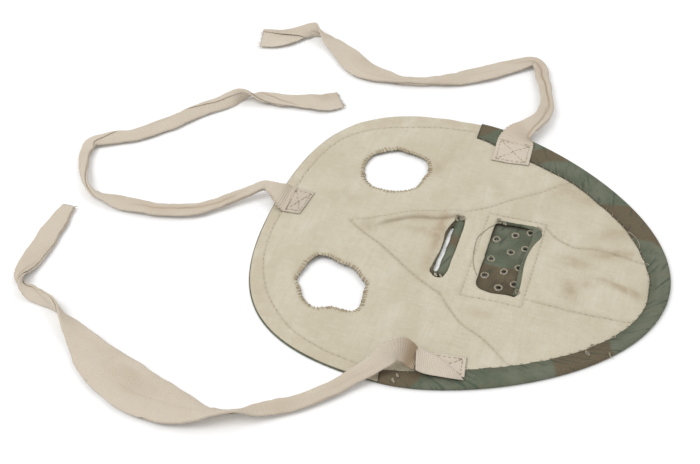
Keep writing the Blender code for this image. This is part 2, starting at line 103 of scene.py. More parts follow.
# Each tie's route: x, y, z, half width, and roll about its own line in degrees.
RIGHT_TIE = [
    (80.5, -6.3, 3.6, 9.2, 180), (82, -6.3, 4.0, 9.0, 180), (84.5, -6.8, 5.0, 7.8, 183), (89, -9.8, 6.4, 5.4, 188),
    (96, -13.8, 6.6, 4.0, 194), (104, -15.6, 5.6, 3.9, 195), (112, -15.4, 4.8, 3.9, 194), (120, -14.2, 4.2, 3.4, 190),
    (128, -12, 3.8, 3.3, 186), (138.5, -8, 3.2, 3.6, 182), (147.4, -5, 2.9, 3.6, 180), (152.2, -0.6, 2.7, 3.6, 180),
    (147.6, 6.6, 2.6, 4.6, 180), (141, 14.6, 2.4, 5.5, 180), (128, 30.8, 2.3, 5.6, 180), (121.5, 40, 2.3, 4.2, 176),
    (116.4, 50.2, 2.4, 2.5, 172), (112.2, 66, 2.4, 2.8, 178), (112.8, 72.5, 2.2, 4.4, 180),
    (113.8, 82, 2.0, 6.4, 180), (117, 90.5, 1.9, 7.4, 180), (122.2, 97.5, 1.9, 7.4, 180),
    (129.4, 106.4, 2.0, 6.2, 182), (134.6, 114.2, 2.4, 5.0, 192), (138.6, 121.5, 3.0, 4.0, 235),
    (139.6, 127.5, 3.2, 4.0, 310), (136.8, 132.8, 2.8, 4.8, 350), (131.8, 138, 2.3, 6.6, 360),
    (127.8, 144, 1.9, 7.8, 360), (125.2, 153.3, 1.6, 8.4, 360),
]
TOP_TIE = [
    (2.4, 89.5, 3.4, 8.9, 180), (2.4, 91, 3.8, 8.6, 180), (2.5, 93.2, 4.8, 7.4, 178), (3.2, 97, 6.0, 4.6, 174),
    (4.2, 101.8, 6.2, 2.8, 170), (-2.4, 110, 4.6, 2.5, 168), (-12.4, 121, 3.0, 3.0, 172), (-20.6, 132, 2.6, 3.8, 176),
    (-25, 148, 2.2, 3.9, 180), (-26, 168, 1.9, 4.4, 184), (-24.4, 182, 2.6, 2.7, 225), (-20, 188.6, 2.8, 2.5, 275),
    (-6, 197.6, 2.8, 2.4, 345), (3, 201, 2.6, 2.8, 358), (9.5, 201.5, 2.4, 3.2, 360), (15, 195.5, 2.2, 3.9, 360),
    (24.5, 182.8, 1.9, 5.0, 360), (38, 170.5, 1.9, 5.2, 362), (53, 158.5, 2.2, 4.0, 368),
    (64.5, 147.5, 2.7, 3.8, 395), (70.2, 141.5, 2.8, 3.9, 455), (73, 134, 2.6, 4.2, 522), (74.3, 127, 2.4, 4.6, 538),
    (74.9, 120.5, 2.2, 4.5, 540), (75.9, 114, 2.0, 4.9, 540), (78.6, 106, 1.9, 6.3, 540), (80.8, 98, 1.8, 7.2, 540),
    (85.4, 91.4, 1.6, 6.6, 540),
]
LEFT_TIE = [
    (-76, 0.6, 4.5, 5.4, 180), (-76, 1.8, 4.8, 5.4, 178), (-76.1, 3.8, 7.0, 5.3, 158), (-77.2, 6.8, 10.0, 5.1, 132),
    (-79.4, 9.9, 11.2, 4.9, 122), (-82.2, 13.1, 9.6, 4.6, 138), (-86, 17.4, 6.8, 4.1, 158),
    (-92.2, 23.4, 4.2, 3.6, 170), (-101.6, 31.2, 2.8, 3.4, 176), (-110.8, 40.2, 2.5, 3.5, 176),
    (-116.8, 49, 2.5, 3.7, 178), (-121.6, 56, 2.7, 3.9, 196), (-126.2, 64.4, 3.4, 4.4, 233),
    (-129, 72.5, 3.0, 5.0, 216), (-130.4, 83.5, 2.5, 7.8, 188), (-128.5, 104, 2.3, 11.0, 180),
    (-120.5, 126.5, 2.4, 10.2, 180), (-107, 148, 2.8, 5.0, 190), (-97, 164.5, 3.0, 3.0, 285),
    (-93, 177.5, 2.6, 3.2, 350), (-90.8, 183, 2.5, 2.9, 420), (-87, 186, 2.5, 3.0, 500), (-81, 187.5, 2.3, 4.2, 532),
    (-65.5, 188, 2.0, 5.2, 538), (-47.5, 189, 1.8, 4.6, 540), (-36.5, 189.1, 1.6, 3.2, 540),
]

# ---------------------------------------------------------------- small tools


def smoothstep(a, b, x):
    t = np.clip((np.asarray(x, float) - a) / (b - a), 0, 1)
    return t * t * (3 - 2 * t)


def hump(x, size):
    """1 at zero, fading out on both sides within about the size."""
    return np.exp(-((x / size) ** 2))


def noise(x, y, size, seed):
    """Smooth random heights from -1 to 1, with bumps about size apart."""
    table = np.random.default_rng(seed).random((64, 64)) * 2 - 1
    u, v = np.asarray(x, float) / size + 1000, np.asarray(y, float) / size + 1000
    i, j = np.floor(u).astype(int), np.floor(v).astype(int)
    a, b = smoothstep(0, 1, u - i), smoothstep(0, 1, v - j)
    low = table[i % 64, j % 64] * (1 - a) + table[(i + 1) % 64, j % 64] * a
    high = table[i % 64, (j + 1) % 64] * (1 - a) + table[(i + 1) % 64, (j + 1) % 64] * a
    return low * (1 - b) + high * b


def smooth_line(route, spacing, closed=False):
    """A smooth curve through the route's points, with a point about every spacing."""
    route = np.array(route, float)
    n, k = len(route), min(route.shape[1], 3)

    def gap(i, j):
        return np.linalg.norm(route[i % n, :k] - route[j % n, :k])

    def slope(i):
        if not closed and i in (0, n - 1):
            near = 1 if i == 0 else n - 2
            return (route[near] - route[i]) / gap(i, near) * (1 if i == 0 else -1)
        before, after = gap(i - 1, i), gap(i, i + 1)
        back, on = (route[i % n] - route[(i - 1) % n]) / before, (route[(i + 1) % n] - route[i % n]) / after
        return (back * after + on * before) / (before + after)

    line = []
    for i in range(n if closed else n - 1):
        length = gap(i, i + 1)
        leave, arrive = slope(i) * length, slope((i + 1) % n) * length
        for t in np.arange(max(1, round(length / spacing))) / max(1, round(length / spacing)):
            a, b, c, d = 2 * t**3 - 3 * t**2 + 1, t**3 - 2 * t**2 + t, 3 * t**2 - 2 * t**3, t**3 - t**2
            line.append(a * route[i] + b * leave + c * route[(i + 1) % n] + d * arrive)
    if not closed:
        line.append(route[-1])
    return np.array(line)


def even(line, step):
    """The line again, with its points evenly spaced."""
    line = np.array(line, float)
    run = np.concatenate([[0], np.cumsum(np.linalg.norm(np.diff(line[:, :3], axis=0), axis=1))])
    at = np.linspace(0, run[-1], max(2, round(run[-1] / step) + 1))
    return np.stack([np.interp(at, run, line[:, c]) for c in range(line.shape[1])], axis=1)


def beside(line, x, y, closed=False):
    """Each point's distance from a line, its place along the line, and its side: 1 to the left, -1 to the right."""
    line = np.array(line, float)[:, :2]
    ends = np.roll(line, -1, axis=0) if closed else line[1:]
    x, y = np.asarray(x, float), np.asarray(y, float)
    best, place, side, run = np.full(x.shape, 1e9), np.zeros(x.shape), np.ones(x.shape), 0.0
    for (ax, ay), (bx, by) in zip(line, ends):
        dx, dy = bx - ax, by - ay
        length = max(math.hypot(dx, dy), 1e-9)
        t = np.clip(((x - ax) * dx + (y - ay) * dy) / length**2, 0, 1)
        far = np.hypot(x - ax - t * dx, y - ay - t * dy)
        near = far < best
        best = np.where(near, far, best)
        place = np.where(near, run + t * length, place)
        side = np.where(near, np.sign((dx * (y - ay) - dy * (x - ax)) + 1e-12), side)
        run += length
    return best, place, side


def within(loop, x, y):
    """Signed distance from a closed loop, negative inside it."""
    loop = np.array(loop, float)[:, :2]
    x, y = np.asarray(x, float), np.asarray(y, float)
    inside = np.zeros(x.shape, bool)
    for (ax, ay), (bx, by) in zip(loop, np.roll(loop, -1, axis=0)):
        if ay != by:
            inside ^= ((ay > y) != (by > y)) & (x < (bx - ax) * (y - ay) / (by - ay) + ax)
    return np.where(inside, -1, 1) * beside(loop, x, y, closed=True)[0]


GRID_X, GRID_Y = 96, 101


class Sampled:
    """A rule worked out once on a fine grid over the veil, and read between the grid's points."""

    def __init__(self, rule, step=0.4):
        xs, ys = np.arange(-GRID_X, GRID_X, step), np.arange(-GRID_Y, GRID_Y, step)
        x, y = np.meshgrid(xs, ys, indexing="ij")
        self.step, self.table = step, rule(x, y)

    def __call__(self, x, y):
        u = np.clip((np.asarray(x, float) + GRID_X) / self.step, 0, self.table.shape[0] - 1.001)
        v = np.clip((np.asarray(y, float) + GRID_Y) / self.step, 0, self.table.shape[1] - 1.001)
        i, j = np.floor(u).astype(int), np.floor(v).astype(int)
        a, b, t = u - i, v - j, self.table
        return (t[i, j] * (1 - a) + t[i + 1, j] * a) * (1 - b) + (t[i, j + 1] * (1 - a) + t[i + 1, j + 1] * a) * b


def outline():
    """The veil's edge, counterclockwise from the chin."""
    arcs = [
        [(0, -95.5), (52.1, -95.5), (90, -20.5), (90, 14)],
        [(90, 14), (90, 75.8), (63.6, 95.5), (0, 95.5)],
    ]
    t = np.linspace(0, 1, 41)[:-1, None]
    right = [(1 - t) ** 3 * a + 3 * t * (1 - t) ** 2 * b + 3 * t**2 * (1 - t) * c + t**3 * d
        for a, b, c, d in np.array(arcs, float)]
    right = np.concatenate(right)
    left = right[1:][::-1] * [-1, 1]
    return np.concatenate([right, [[0, 95.5]], left])


EDGE_STEP = 1.2


def ragged(loop, amount, seed, curved=True):
    """A loop with a slightly uneven edge, as cut cloth has."""
    line = smooth_line(loop, EDGE_STEP, closed=True) if curved else even(np.vstack([loop, loop[:1]]), EDGE_STEP)[:-1]
    run = np.arange(len(line)) * EDGE_STEP
    middle = line.mean(axis=0)
    out = (line - middle) / np.linalg.norm(line - middle, axis=1)[:, None]
    return line + out * (amount * (noise(run, 0 * run, 6, seed) + 0.55 * noise(run, 0 * run, 2.4, seed + 1)))[:, None]


OUTLINE = outline()
EYES = [ragged(EYE_RIGHT, 0.75, 11), ragged(EYE_LEFT, 0.75, 13)]
HEM = smooth_line(HEM_INNER, 3)
BROW = smooth_line(FOREHEAD, 3)
WINDOW_EDGE = ragged(WINDOW, 0.3, 19, curved=False)
CREASES = [
    ([(-6.5, -57), (-5.9, -67), (-6.4, -76), (-7.5, -84.5)], 0.55), ([(-3.8, -59), (-2, -69), (-1, -78)], 0.5),
    ([(2, -62), (4, -72), (5, -83)], 0.3), ([(9, -52), (13, -64), (19, -75)], 0.3),
    ([(4, -40), (2, -50), (3, -58)], 0.35), ([(-18, -44), (-14, -54), (-8, -60)], 0.25),
    ([(-14, 50), (-24, 36), (-30, 22)], 0.2), ([(10, 62), (22, 58), (30, 66)], 0.2),
    ([(62, 30), (66, 12), (72, 2)], 0.25), ([(-48, 6), (-58, -8), (-66, -14)], 0.3),
]
SLIT_EDGE = smooth_line(SLIT, 1.5, closed=True)
GAP_EDGE = smooth_line(SLIT_GAP, 1.5, closed=True)


# ---------------------------------------------------------------- the heights of the cloth layers


from_edge = Sampled(lambda x, y: within(OUTLINE, x, y))


def ground(x, y):
    """The outer cloth's underside: almost flat at the edge and the slit, with soft rises between them."""
    rise = 0.75 * (1 + noise(x, y, 32, 3)) + 0.3 * (1 + noise(x, y, 14, 4))
    lower = np.exp(-((x / 24) ** 2) - ((y - 7) / 9) ** 2)
    return 0.08 + rise * smoothstep(1, 26, -from_edge(x, y)) * (1 - 0.85 * lower)


SEAMS = [
    (smooth_line(NOSE_LEFT, 3), 0.95), (smooth_line(NOSE_RIGHT, 3), 0.45), (smooth_line(CHEEK_LEFT, 3), 0.8),
    (smooth_line(CHEEK_RIGHT, 3), 0.65), (smooth_line(CHIN_LEFT, 3), 0.75), (smooth_line(CHIN_RIGHT, 3), 0.85),
    (FACING + [FACING[0]], 0.5),
]
FOLD = smooth_line(NOSE_FOLD, 2)


def lining_rule(x, y):
    """The lining's upper surface, with its seams, creases and soft wrinkles."""
    z = ground(x, y) + 1.5 + 0.24 * noise(x, y, 8, 5) + 0.12 * noise(x, 0.6 * y, 3.8, 6)
    for line, depth in SEAMS:
        far, place, side = beside(line, x, y)
        z += depth * (-0.42 * hump(far, 0.6) + 0.26 * hump(far - 1.9, 1.3))
        z += depth * 0.16 * noise(place, side * 9, 2.8, 17) * hump(far, 2.6)
    # The nose pocket's right-hand fold: the cheek's cloth lies over the gusset, with small puckers at its start.
    far, place, side = beside(FOLD, x, y)
    grow = smoothstep(0, 12, place)
    across = far * side
    z += grow * (0.45 * (1 + np.tanh(across / 0.7)) * hump(across, 4.2) - 0.45 * hump(across + 1.1, 1.3))
    z += 0.3 * np.sin(place * 1.9) * hump(far, 2.2) * hump(place - 5, 4)
    # The gusset's edge stands a little away from the slit, in ripples, and has one soft crease down to it.
    slit = within(SLIT_EDGE, x, y)
    above = smoothstep(7, 10, y)
    z += above * (0.8 + 0.55 * noise(x, 0.5 * y, 5, 8)) * hump(slit, 5)
    z += (1 - above) * 0.35 * hump(slit, 3)
    far, place, _ = beside([(0.5, 11), (2.5, 20), (2.6, 33)], x, y)
    z -= 0.6 * hump(far, 2.2) * (1 - smoothstep(8, 18, place)) * above
    # Creases in the chin's middle panel, and a few broad ones in the cheeks and the forehead.
    for line, high in CREASES:
        far, place, side = beside(smooth_line(line, 2), x, y)
        run = sum(math.dist(p, q) for p, q in zip(line, line[1:]))
        ends = smoothstep(0, 0.3 * run, place) * (1 - smoothstep(0.7 * run, run, place))
        z += ends * high * (np.exp(-(((far * side) - 1.2) ** 2)) - np.exp(-(((far * side) + 0.5) ** 2) / 0.6))
    # Edges roll down, and the stitching round the eyes draws the cloth in.
    z -= 0.4 * hump(from_edge(x, y), 0.9)
    far, place, side = beside(BROW, x, y)
    z += -0.28 * hump(far, 0.6) + 0.2 * noise(place, side * 5, 3.4, 18) * hump(far - 2, 2)
    for eye in EYES:
        far = within(eye, x, y)
        z -= 0.5 * hump(far, 1.2)
        z += 0.22 * hump(far - 2.5, 1.8) * noise(x, y, 2.6, 9)
    window = within(WINDOW_EDGE, x, y)
    z += 0.3 * hump(window - 1.5, 1.6) - 0.25 * hump(window, 0.6)
    return np.maximum(z, ground(x, y) + 0.9)


def hem_share(x, y):
    """1 over the turned hem and 0 off it."""
    far, _, side = beside(HEM, x, y)
    low = (1 - smoothstep(13, 15, y)) * (from_edge(x, y) < 0)
    return low * smoothstep(-0.6, 0.6, far * side)


lining_top = Sampled(lining_rule)
over_hem = Sampled(hem_share)


def surface(x, y):
    """What trim lies on: the lining, or the hem where there is one."""
    return lining_top(x, y) + 0.85 * over_hem(x, y)


# ---------------------------------------------------------------- meshes


def make(name, points, faces, material, body="veil", uv=None, values=None, nodes=(), slot=None):
    """A piece from points in millimetres. uv is each point's place on the cloth, and values are named numbers."""
    mesh = bpy.data.meshes.new(name)
    mesh.from_pydata((np.asarray(points) * MM).tolist(), [], [tuple(int(i) for i in f) for f in faces])
    mesh.validate()
    work = bmesh.new()
    work.from_mesh(mesh)
    bmesh.ops.recalc_face_normals(work, faces=work.faces)
    work.to_mesh(mesh)
    work.free()
    if uv is not None:
        layer = mesh.uv_layers.new(name="cloth")
        corner = np.zeros(len(mesh.loops), np.int32)
        mesh.loops.foreach_get("vertex_index", corner)
        layer.data.foreach_set("uv", np.asarray(uv, np.float32)[corner].ravel())
    for key, data in (values or {}).items():
        mesh.attributes.new(key, "FLOAT", "POINT").data.foreach_set("value", np.asarray(data, np.float32))
    mesh.shade_smooth()
    mesh.materials.append(material)
    obj = bpy.data.objects.new(name, mesh)
    bpy.context.scene.collection.objects.link(obj)
    if body:
        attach(obj, body)
    if nodes:
        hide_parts(*nodes)
    return obj


def cloth_piece(name, edge, holes, step, top, thick, material, bulge=0.25, values=None, **more):
    """A closed sheet of cloth: square cells inside the edge and outside the holes, with its rim drawn onto them."""

    def gap(x, y):
        return np.max([within(edge, x, y)] + [-within(h, x, y) for h in holes], axis=0)

    low, high = np.array(edge)[:, :2].min(axis=0) - step, np.array(edge)[:, :2].max(axis=0) + step
    xs, ys = np.arange(low[0], high[0] + step, step), np.arange(low[1], high[1] + step, step)
    x, y = (a.ravel() for a in np.meshgrid(xs, ys))
    near = gap(x, y).reshape(len(ys), len(xs)) < 0.4 * step
    cells = near[:-1, :-1] & near[1:, :-1] & near[:-1, 1:] & near[1:, 1:]
    j, i = np.nonzero(cells)
    w = len(xs)
    quads = np.stack([j * w + i, j * w + i + 1, (j + 1) * w + i + 1, (j + 1) * w + i], axis=1)
    edges = np.concatenate([quads[:, [k, (k + 1) % 4]] for k in range(4)])
    keys = {(int(a), int(b)) for a, b in edges}
    rim = [(a, b) for a, b in keys if (b, a) not in keys]
    used = np.unique(quads)
    on_rim = np.array(sorted({a for a, b in rim}))
    px, py = x[on_rim], y[on_rim]
    for _ in range(3):
        d, e = gap(px, py), 0.05
        gx, gy = (gap(px + e, py) - gap(px - e, py)) / (2 * e), (gap(px, py + e) - gap(px, py - e)) / (2 * e)
        size = np.maximum(np.hypot(gx, gy), 0.5)
        px, py = px - d * gx / size**2, py - d * gy / size**2
    x[on_rim], y[on_rim] = px, py
    x, y = x[used], y[used]
    new = {int(a): k for k, a in enumerate(used)}
    n = len(used)
    z = top(x, y)
    place = np.array([new[int(a)] for a in on_rim])
    middle = {int(a): 2 * n + k for k, a in enumerate(on_rim)}
    thickness = thick(x, y) if callable(thick) else np.full(n, float(thick))
    bottom = z - thickness
    mid = np.stack([px + bulge * gx / size, py + bulge * gy / size, (z - thickness / 2)[place]], axis=1)
    points = np.concatenate([np.stack([x, y, z], axis=1), np.stack([x, y, bottom], axis=1), mid])
    remap = np.vectorize(new.get)(quads)
    faces = remap.tolist() + (remap[:, ::-1] + n).tolist()
    for a, b in rim:
        ta, tb = new[a], new[b]
        faces.append((tb, ta, middle[a], middle[b]))
        faces.append((middle[b], middle[a], ta + n, tb + n))
    uv = points[:, :2]
    extra = {k: f(points[:, 0], points[:, 1]) for k, f in (values or {}).items()}
    return make(name, points, faces, material, uv=uv, values=extra, **more)


def ring_faces(rows, columns, closed_along=False, caps=False):
    """Faces of a tube or strip whose points are given row by row."""
    faces = []
    for r in range(rows if closed_along else rows - 1):
        for c in range(columns):
            a, b = r * columns + c, r * columns + (c + 1) % columns
            s = (r + 1) % rows
            faces.append((a, b, s * columns + (c + 1) % columns, s * columns + c))
    if caps:
        faces.append(tuple(range(columns))[::-1])
        faces.append(tuple((rows - 1) * columns + c for c in range(columns)))
    return faces


def slab(top, bottom):
    """The points and faces of a sheet that is closed all round, from its two sides, each a grid of points."""
    rows, columns = top.shape[:2]
    count = rows * columns
    grid = np.arange(count).reshape(rows, columns)
    quads = np.stack([grid[:-1, :-1], grid[:-1, 1:], grid[1:, 1:], grid[1:, :-1]], axis=-1).reshape(-1, 4).tolist()
    loop = [*grid[0, :-1], *grid[:-1, -1], *grid[-1, :0:-1], *grid[:0:-1, 0]]
    quads += [[i + count for i in q[::-1]] for q in quads]
    quads += [[b, a, a + count, b + count] for a, b in zip(loop, loop[1:] + loop[:1])]
    return np.concatenate([top.reshape(-1, 3), bottom.reshape(-1, 3)]), quads


def tubes(name, lines, radius, material, sides=6, **more):
    """Several round threads as one piece. Each line is a list of points, and its ends taper."""
    points, faces, start = [], [], 0
    for line in lines:
        line = np.array(line, float)
        tangent = np.gradient(line, axis=0)
        tangent /= np.maximum(np.linalg.norm(tangent, axis=1), 1e-9)[:, None]
        up = np.tile([0.0, 0.0, 1.0], (len(line), 1))
        up[np.abs(tangent[:, 2]) > 0.9] = [1.0, 0.0, 0.0]
        side = np.cross(up, tangent)
        side /= np.maximum(np.linalg.norm(side, axis=1), 1e-9)[:, None]
        up = np.cross(tangent, side)
        size = np.full(len(line), radius)
        size[[0, -1]] *= 0.55
        for p, s, u, r in zip(line, side, up, size):
            for k in range(sides):
                turn = 2 * math.pi * k / sides
                points.append(p + r * (math.cos(turn) * s + math.sin(turn) * u))
        faces += [tuple(i + start for i in f) for f in ring_faces(len(line), sides, caps=True)]
        start += len(line) * sides
    return make(name, points, faces, material, **more)


STITCH_WANDER = 0.08


def stitch_lines(line, length=2.1, gap=0.6, lift=0.16, over=surface):
    """Stitches along a line as short threads that dip into the cloth at both ends."""
    line = np.array(line, float)[:, :2]
    run = np.concatenate([[0], np.cumsum(np.linalg.norm(np.diff(line, axis=0), axis=1))])
    out, at = [], 0.0
    while at + length <= run[-1]:
        t = np.linspace(at, at + length * (0.92 + 0.14 * rng.random()), 5)
        x, y = np.interp(t, run, line[:, 0]), np.interp(t, run, line[:, 1])
        dx, dy = rng.normal(0, STITCH_WANDER, 2)
        z = over(x + dx, y + dy) + lift * np.array([-1.6, 0.5, 1, 0.5, -1.6])
        out.append(np.stack([x + dx, y + dy, z], axis=1))
        at += length + gap * (0.8 + 0.4 * rng.random())
    return out


# ---------------------------------------------------------------- materials


def add(tree, kind, inputs=None, **settings):
    node = tree.nodes.new(kind)
    for key, value in settings.items():
        setattr(node, key, value)
    for key, value in (inputs or {}).items():
        if isinstance(value, bpy.types.NodeSocket):
            tree.links.new(value, node.inputs[key])
        else:
            node.inputs[key].default_value = value
    return node


def rgb(c):
    return (*c, 1.0)


class Cloth:
    """A fabric material, built up from its place on the cloth in millimetres."""

    def __init__(self, name, base, roughness=0.95, sheen=0.0):
        self.material = bpy.data.materials.new(name)
        self.material.use_nodes = True
        self.tree = self.material.node_tree
        self.shader = self.tree.nodes["Principled BSDF"]
        self.shader.inputs["Roughness"].default_value = roughness
        self.shader.inputs["Specular IOR Level"].default_value = 0.2
        self.shader.inputs["Sheen Weight"].default_value = sheen
        self.shader.inputs["Sheen Roughness"].default_value = 0.6
        self.place = add(self.tree, "ShaderNodeUVMap", uv_map="cloth").outputs["UV"]
        start = add(self.tree, "ShaderNodeRGB")
        start.outputs[0].default_value = rgb(base)
        self.colour = start.outputs[0]
        self.height = None

    def noise(self, stretch=(1, 1), size=10.0, detail=2.0, turn=0.0, low=0.35, high=0.65):
        """Random patches about size apart, as a factor that goes from 0 to 1 between two levels."""
        scale = (1 / (size * stretch[0]), 1 / (size * stretch[1]), 1)
        moved = add(self.tree, "ShaderNodeMapping", {"Vector": self.place, "Rotation": (0, 0, turn)})
        sized = add(self.tree, "ShaderNodeMapping", {"Vector": moved.outputs[0], "Scale": scale})
        made = add(self.tree, "ShaderNodeTexNoise", {"Vector": sized.outputs[0], "Scale": 1.0, "Detail": detail})
        return self.ramp(made.outputs["Fac"], low, high)

    def ramp(self, value, low, high):
        made = add(self.tree, "ShaderNodeMapRange", {"Value": value, "From Min": low, "From Max": high},
            interpolation_type="SMOOTHSTEP")
        return made.outputs["Result"]

    def value(self, name):
        return add(self.tree, "ShaderNodeAttribute", attribute_name=name).outputs["Fac"]

    def maths(self, operation, a, b):
        return add(self.tree, "ShaderNodeMath", {0: a, 1: b}, operation=operation).outputs[0]

    def tint(self, factor, colour, strength=1.0):
        if strength != 1.0:
            factor = self.maths("MULTIPLY", factor, strength)
        mix = add(self.tree, "ShaderNodeMixRGB", {"Fac": factor, "Color1": self.colour, "Color2": rgb(colour)})
        self.colour = mix.outputs[0]

    def patches(self, colour, strength=1.0, **noise):
        self.tint(self.noise(**noise), colour, strength)

    def wave(self, pitch, across):
        made = add(
            self.tree, "ShaderNodeTexWave",
            {"Vector": self.place, "Scale": math.pi / 10 / pitch, "Distortion": 0.6, "Detail": 1.0,
            "Detail Scale": 0.4},
            wave_type="BANDS", bands_direction="X" if across else "Y",
        )
        return made.outputs["Fac"]

    def raise_by(self, value, amount):
        part = self.maths("MULTIPLY", value, amount)
        self.height = part if self.height is None else self.maths("ADD", self.height, part)

    def done(self, distance=0.0001):
        self.tree.links.new(self.colour, self.shader.inputs["Base Color"])
        if self.height is not None:
            bump = add(self.tree, "ShaderNodeBump", {"Height": self.height, "Distance": distance, "Strength": 0.8})
            self.tree.links.new(bump.outputs[0], self.shader.inputs["Normal"])
        return self.material


def lining_material():
    cloth = Cloth("lining_cotton", (0.575, 0.525, 0.405), sheen=0.05)
    cloth.patches((0.54, 0.487, 0.365), size=26, detail=4, low=0.38, high=0.66)
    cloth.patches((0.62, 0.575, 0.465), 0.8, size=11, stretch=(2.2, 1), detail=5, low=0.45, high=0.75)
    cloth.patches((0.50, 0.445, 0.33), 0.45, size=3.5, detail=5, low=0.5, high=0.8)
    cloth.patches((0.49, 0.435, 0.32), 0.3, size=1.6, stretch=(7, 1), detail=3, low=0.4, high=0.75)
    cloth.patches((0.65, 0.61, 0.50), 0.35, size=1.3, stretch=(1, 6), detail=3, low=0.45, high=0.8)
    cloth.tint(cloth.maths("MULTIPLY", cloth.value("rim"), cloth.noise(size=6, detail=5, low=0.35, high=0.65)),
        (0.52, 0.445, 0.335), strength=0.55)
    cloth.tint(cloth.maths("MULTIPLY", cloth.value("stain"), cloth.noise(size=5, detail=4, low=0.15, high=0.6)),
        (0.40, 0.315, 0.21), strength=0.85)
    # Painted shade and seam darkening: this tint darkens the seams, the forehead stitch line and the eye holes'
    # edges, and paints the nose fold's shade.
    cloth.tint(cloth.value("soil_and_shade"), (0.25, 0.19, 0.12))
    cloth.raise_by(cloth.wave(0.55, True), 0.5)
    cloth.raise_by(cloth.wave(0.55, False), 0.5)
    cloth.raise_by(cloth.noise(size=0.8, detail=3, low=0.2, high=0.8), 0.9)
    return cloth.done(0.00014)


def camo_material(name, turn, strength, level):
    """Grey-green cloth with brown patches and dark green strokes that lie across at an angle."""
    cloth = Cloth(name, (0.112, 0.131, 0.090))
    cloth.patches((0.150, 0.162, 0.118), size=14, detail=4, low=0.4, high=0.62)
    cloth.patches((0.175, 0.160, 0.095), 0.5, size=4, stretch=(1, 3), detail=4, low=0.5, high=0.75)
    cloth.patches((0.072, 0.096, 0.07), 0.5, size=5, detail=5, low=0.5, high=0.8)
    mottle = cloth.maths("MULTIPLY", cloth.noise(size=6, detail=4, low=0, high=1), 0.5)
    cloth.tint(cloth.ramp(cloth.maths("ADD", cloth.value("brown"), mottle), 0.5, 1.15), (0.135, 0.106, 0.067))
    strokes = cloth.noise(size=1.7, stretch=(9, 1), turn=turn, detail=1.5, low=level, high=level + 0.08)
    cloth.tint(cloth.maths("MULTIPLY", strokes, cloth.noise(size=16, detail=1, low=0.36, high=0.52)),
        (0.050, 0.074, 0.054), strength=strength)
    cloth.patches((0.25, 0.24, 0.18), 0.55, size=0.9, detail=3, low=0.5, high=0.9)
    # Painted shade: this tint darkens the outer cloth under the lining's edge round the mouth window, at the slit
    # lips' ends and along the hem's inner edge; on the hidden side it darkens the seams.
    cloth.tint(cloth.value("soil_and_shade"), (0.045, 0.036, 0.024))
    cloth.raise_by(cloth.wave(0.5, True), 0.5)
    cloth.raise_by(cloth.wave(0.5, False), 0.5)
    return cloth.done(0.00012)


def tape_material():
    cloth = Cloth("tie_tape", (0.615, 0.538, 0.438), sheen=0.05)
    cloth.patches((0.545, 0.465, 0.362), size=24, stretch=(1, 2), detail=3, low=0.4, high=0.65)
    cloth.patches((0.62, 0.56, 0.475), 0.6, size=6, stretch=(1, 3), detail=4, low=0.45, high=0.75)
    ribs = cloth.wave(0.95, False)
    cloth.tint(cloth.ramp(ribs, 0.0, 0.6), (0.66, 0.60, 0.52), strength=0.25)
    # Painted shade: this tint darkens the tape in its hollows, along its creases and a little on its underside.
    cloth.tint(cloth.value("soil_and_shade"), (0.33, 0.235, 0.145))
    cloth.raise_by(ribs, 1.0)
    cloth.raise_by(cloth.wave(0.6, True), 0.3)
    return cloth.done(0.0002)


def thread_material(name, colour, dark):
    cloth = Cloth(name, colour, roughness=0.85)
    cloth.place = add(cloth.tree, "ShaderNodeTexCoord").outputs["Object"]
    cloth.place = add(cloth.tree, "ShaderNodeMapping",
        {"Vector": cloth.place, "Scale": (1000, 1000, 1000)}).outputs[0]
    cloth.tint(cloth.noise(size=3.0, detail=3, low=0.35, high=0.7), dark)
    cloth.raise_by(cloth.noise(size=0.35, detail=2, low=0.2, high=0.8), 1.0)
    return cloth.done(0.0001)


LINING = lining_material()
CAMO = camo_material("outer_camouflage", 0.33, 0.6, 0.56)
HEM_CAMO = camo_material("hem_camouflage", -0.8, 0.6, 0.565)
TAPE = tape_material()
SEAM_THREAD = thread_material("seam_thread", (0.49, 0.44, 0.335), (0.38, 0.325, 0.23))
EYE_THREAD = thread_material("eye_thread", (0.53, 0.46, 0.33), (0.35, 0.26, 0.16))
TIE_THREAD = thread_material("tie_thread", (0.50, 0.43, 0.335), (0.40, 0.325, 0.24))
PALE_THREAD = thread_material("pale_thread", (0.39, 0.35, 0.27), (0.27, 0.235, 0.17))


# ---------------------------------------------------------------- the veil's cloth


def spot(x, y, at, size, turn=0.0):
    """1 at a place and fading out from it, in an oval."""
    c, s = math.cos(math.radians(turn)), math.sin(math.radians(turn))
    u, v = (x - at[0]) * c + (y - at[1]) * s, -(x - at[0]) * s + (y - at[1]) * c
    return np.exp(-((u / size[0]) ** 2) - (v / size[1]) ** 2)


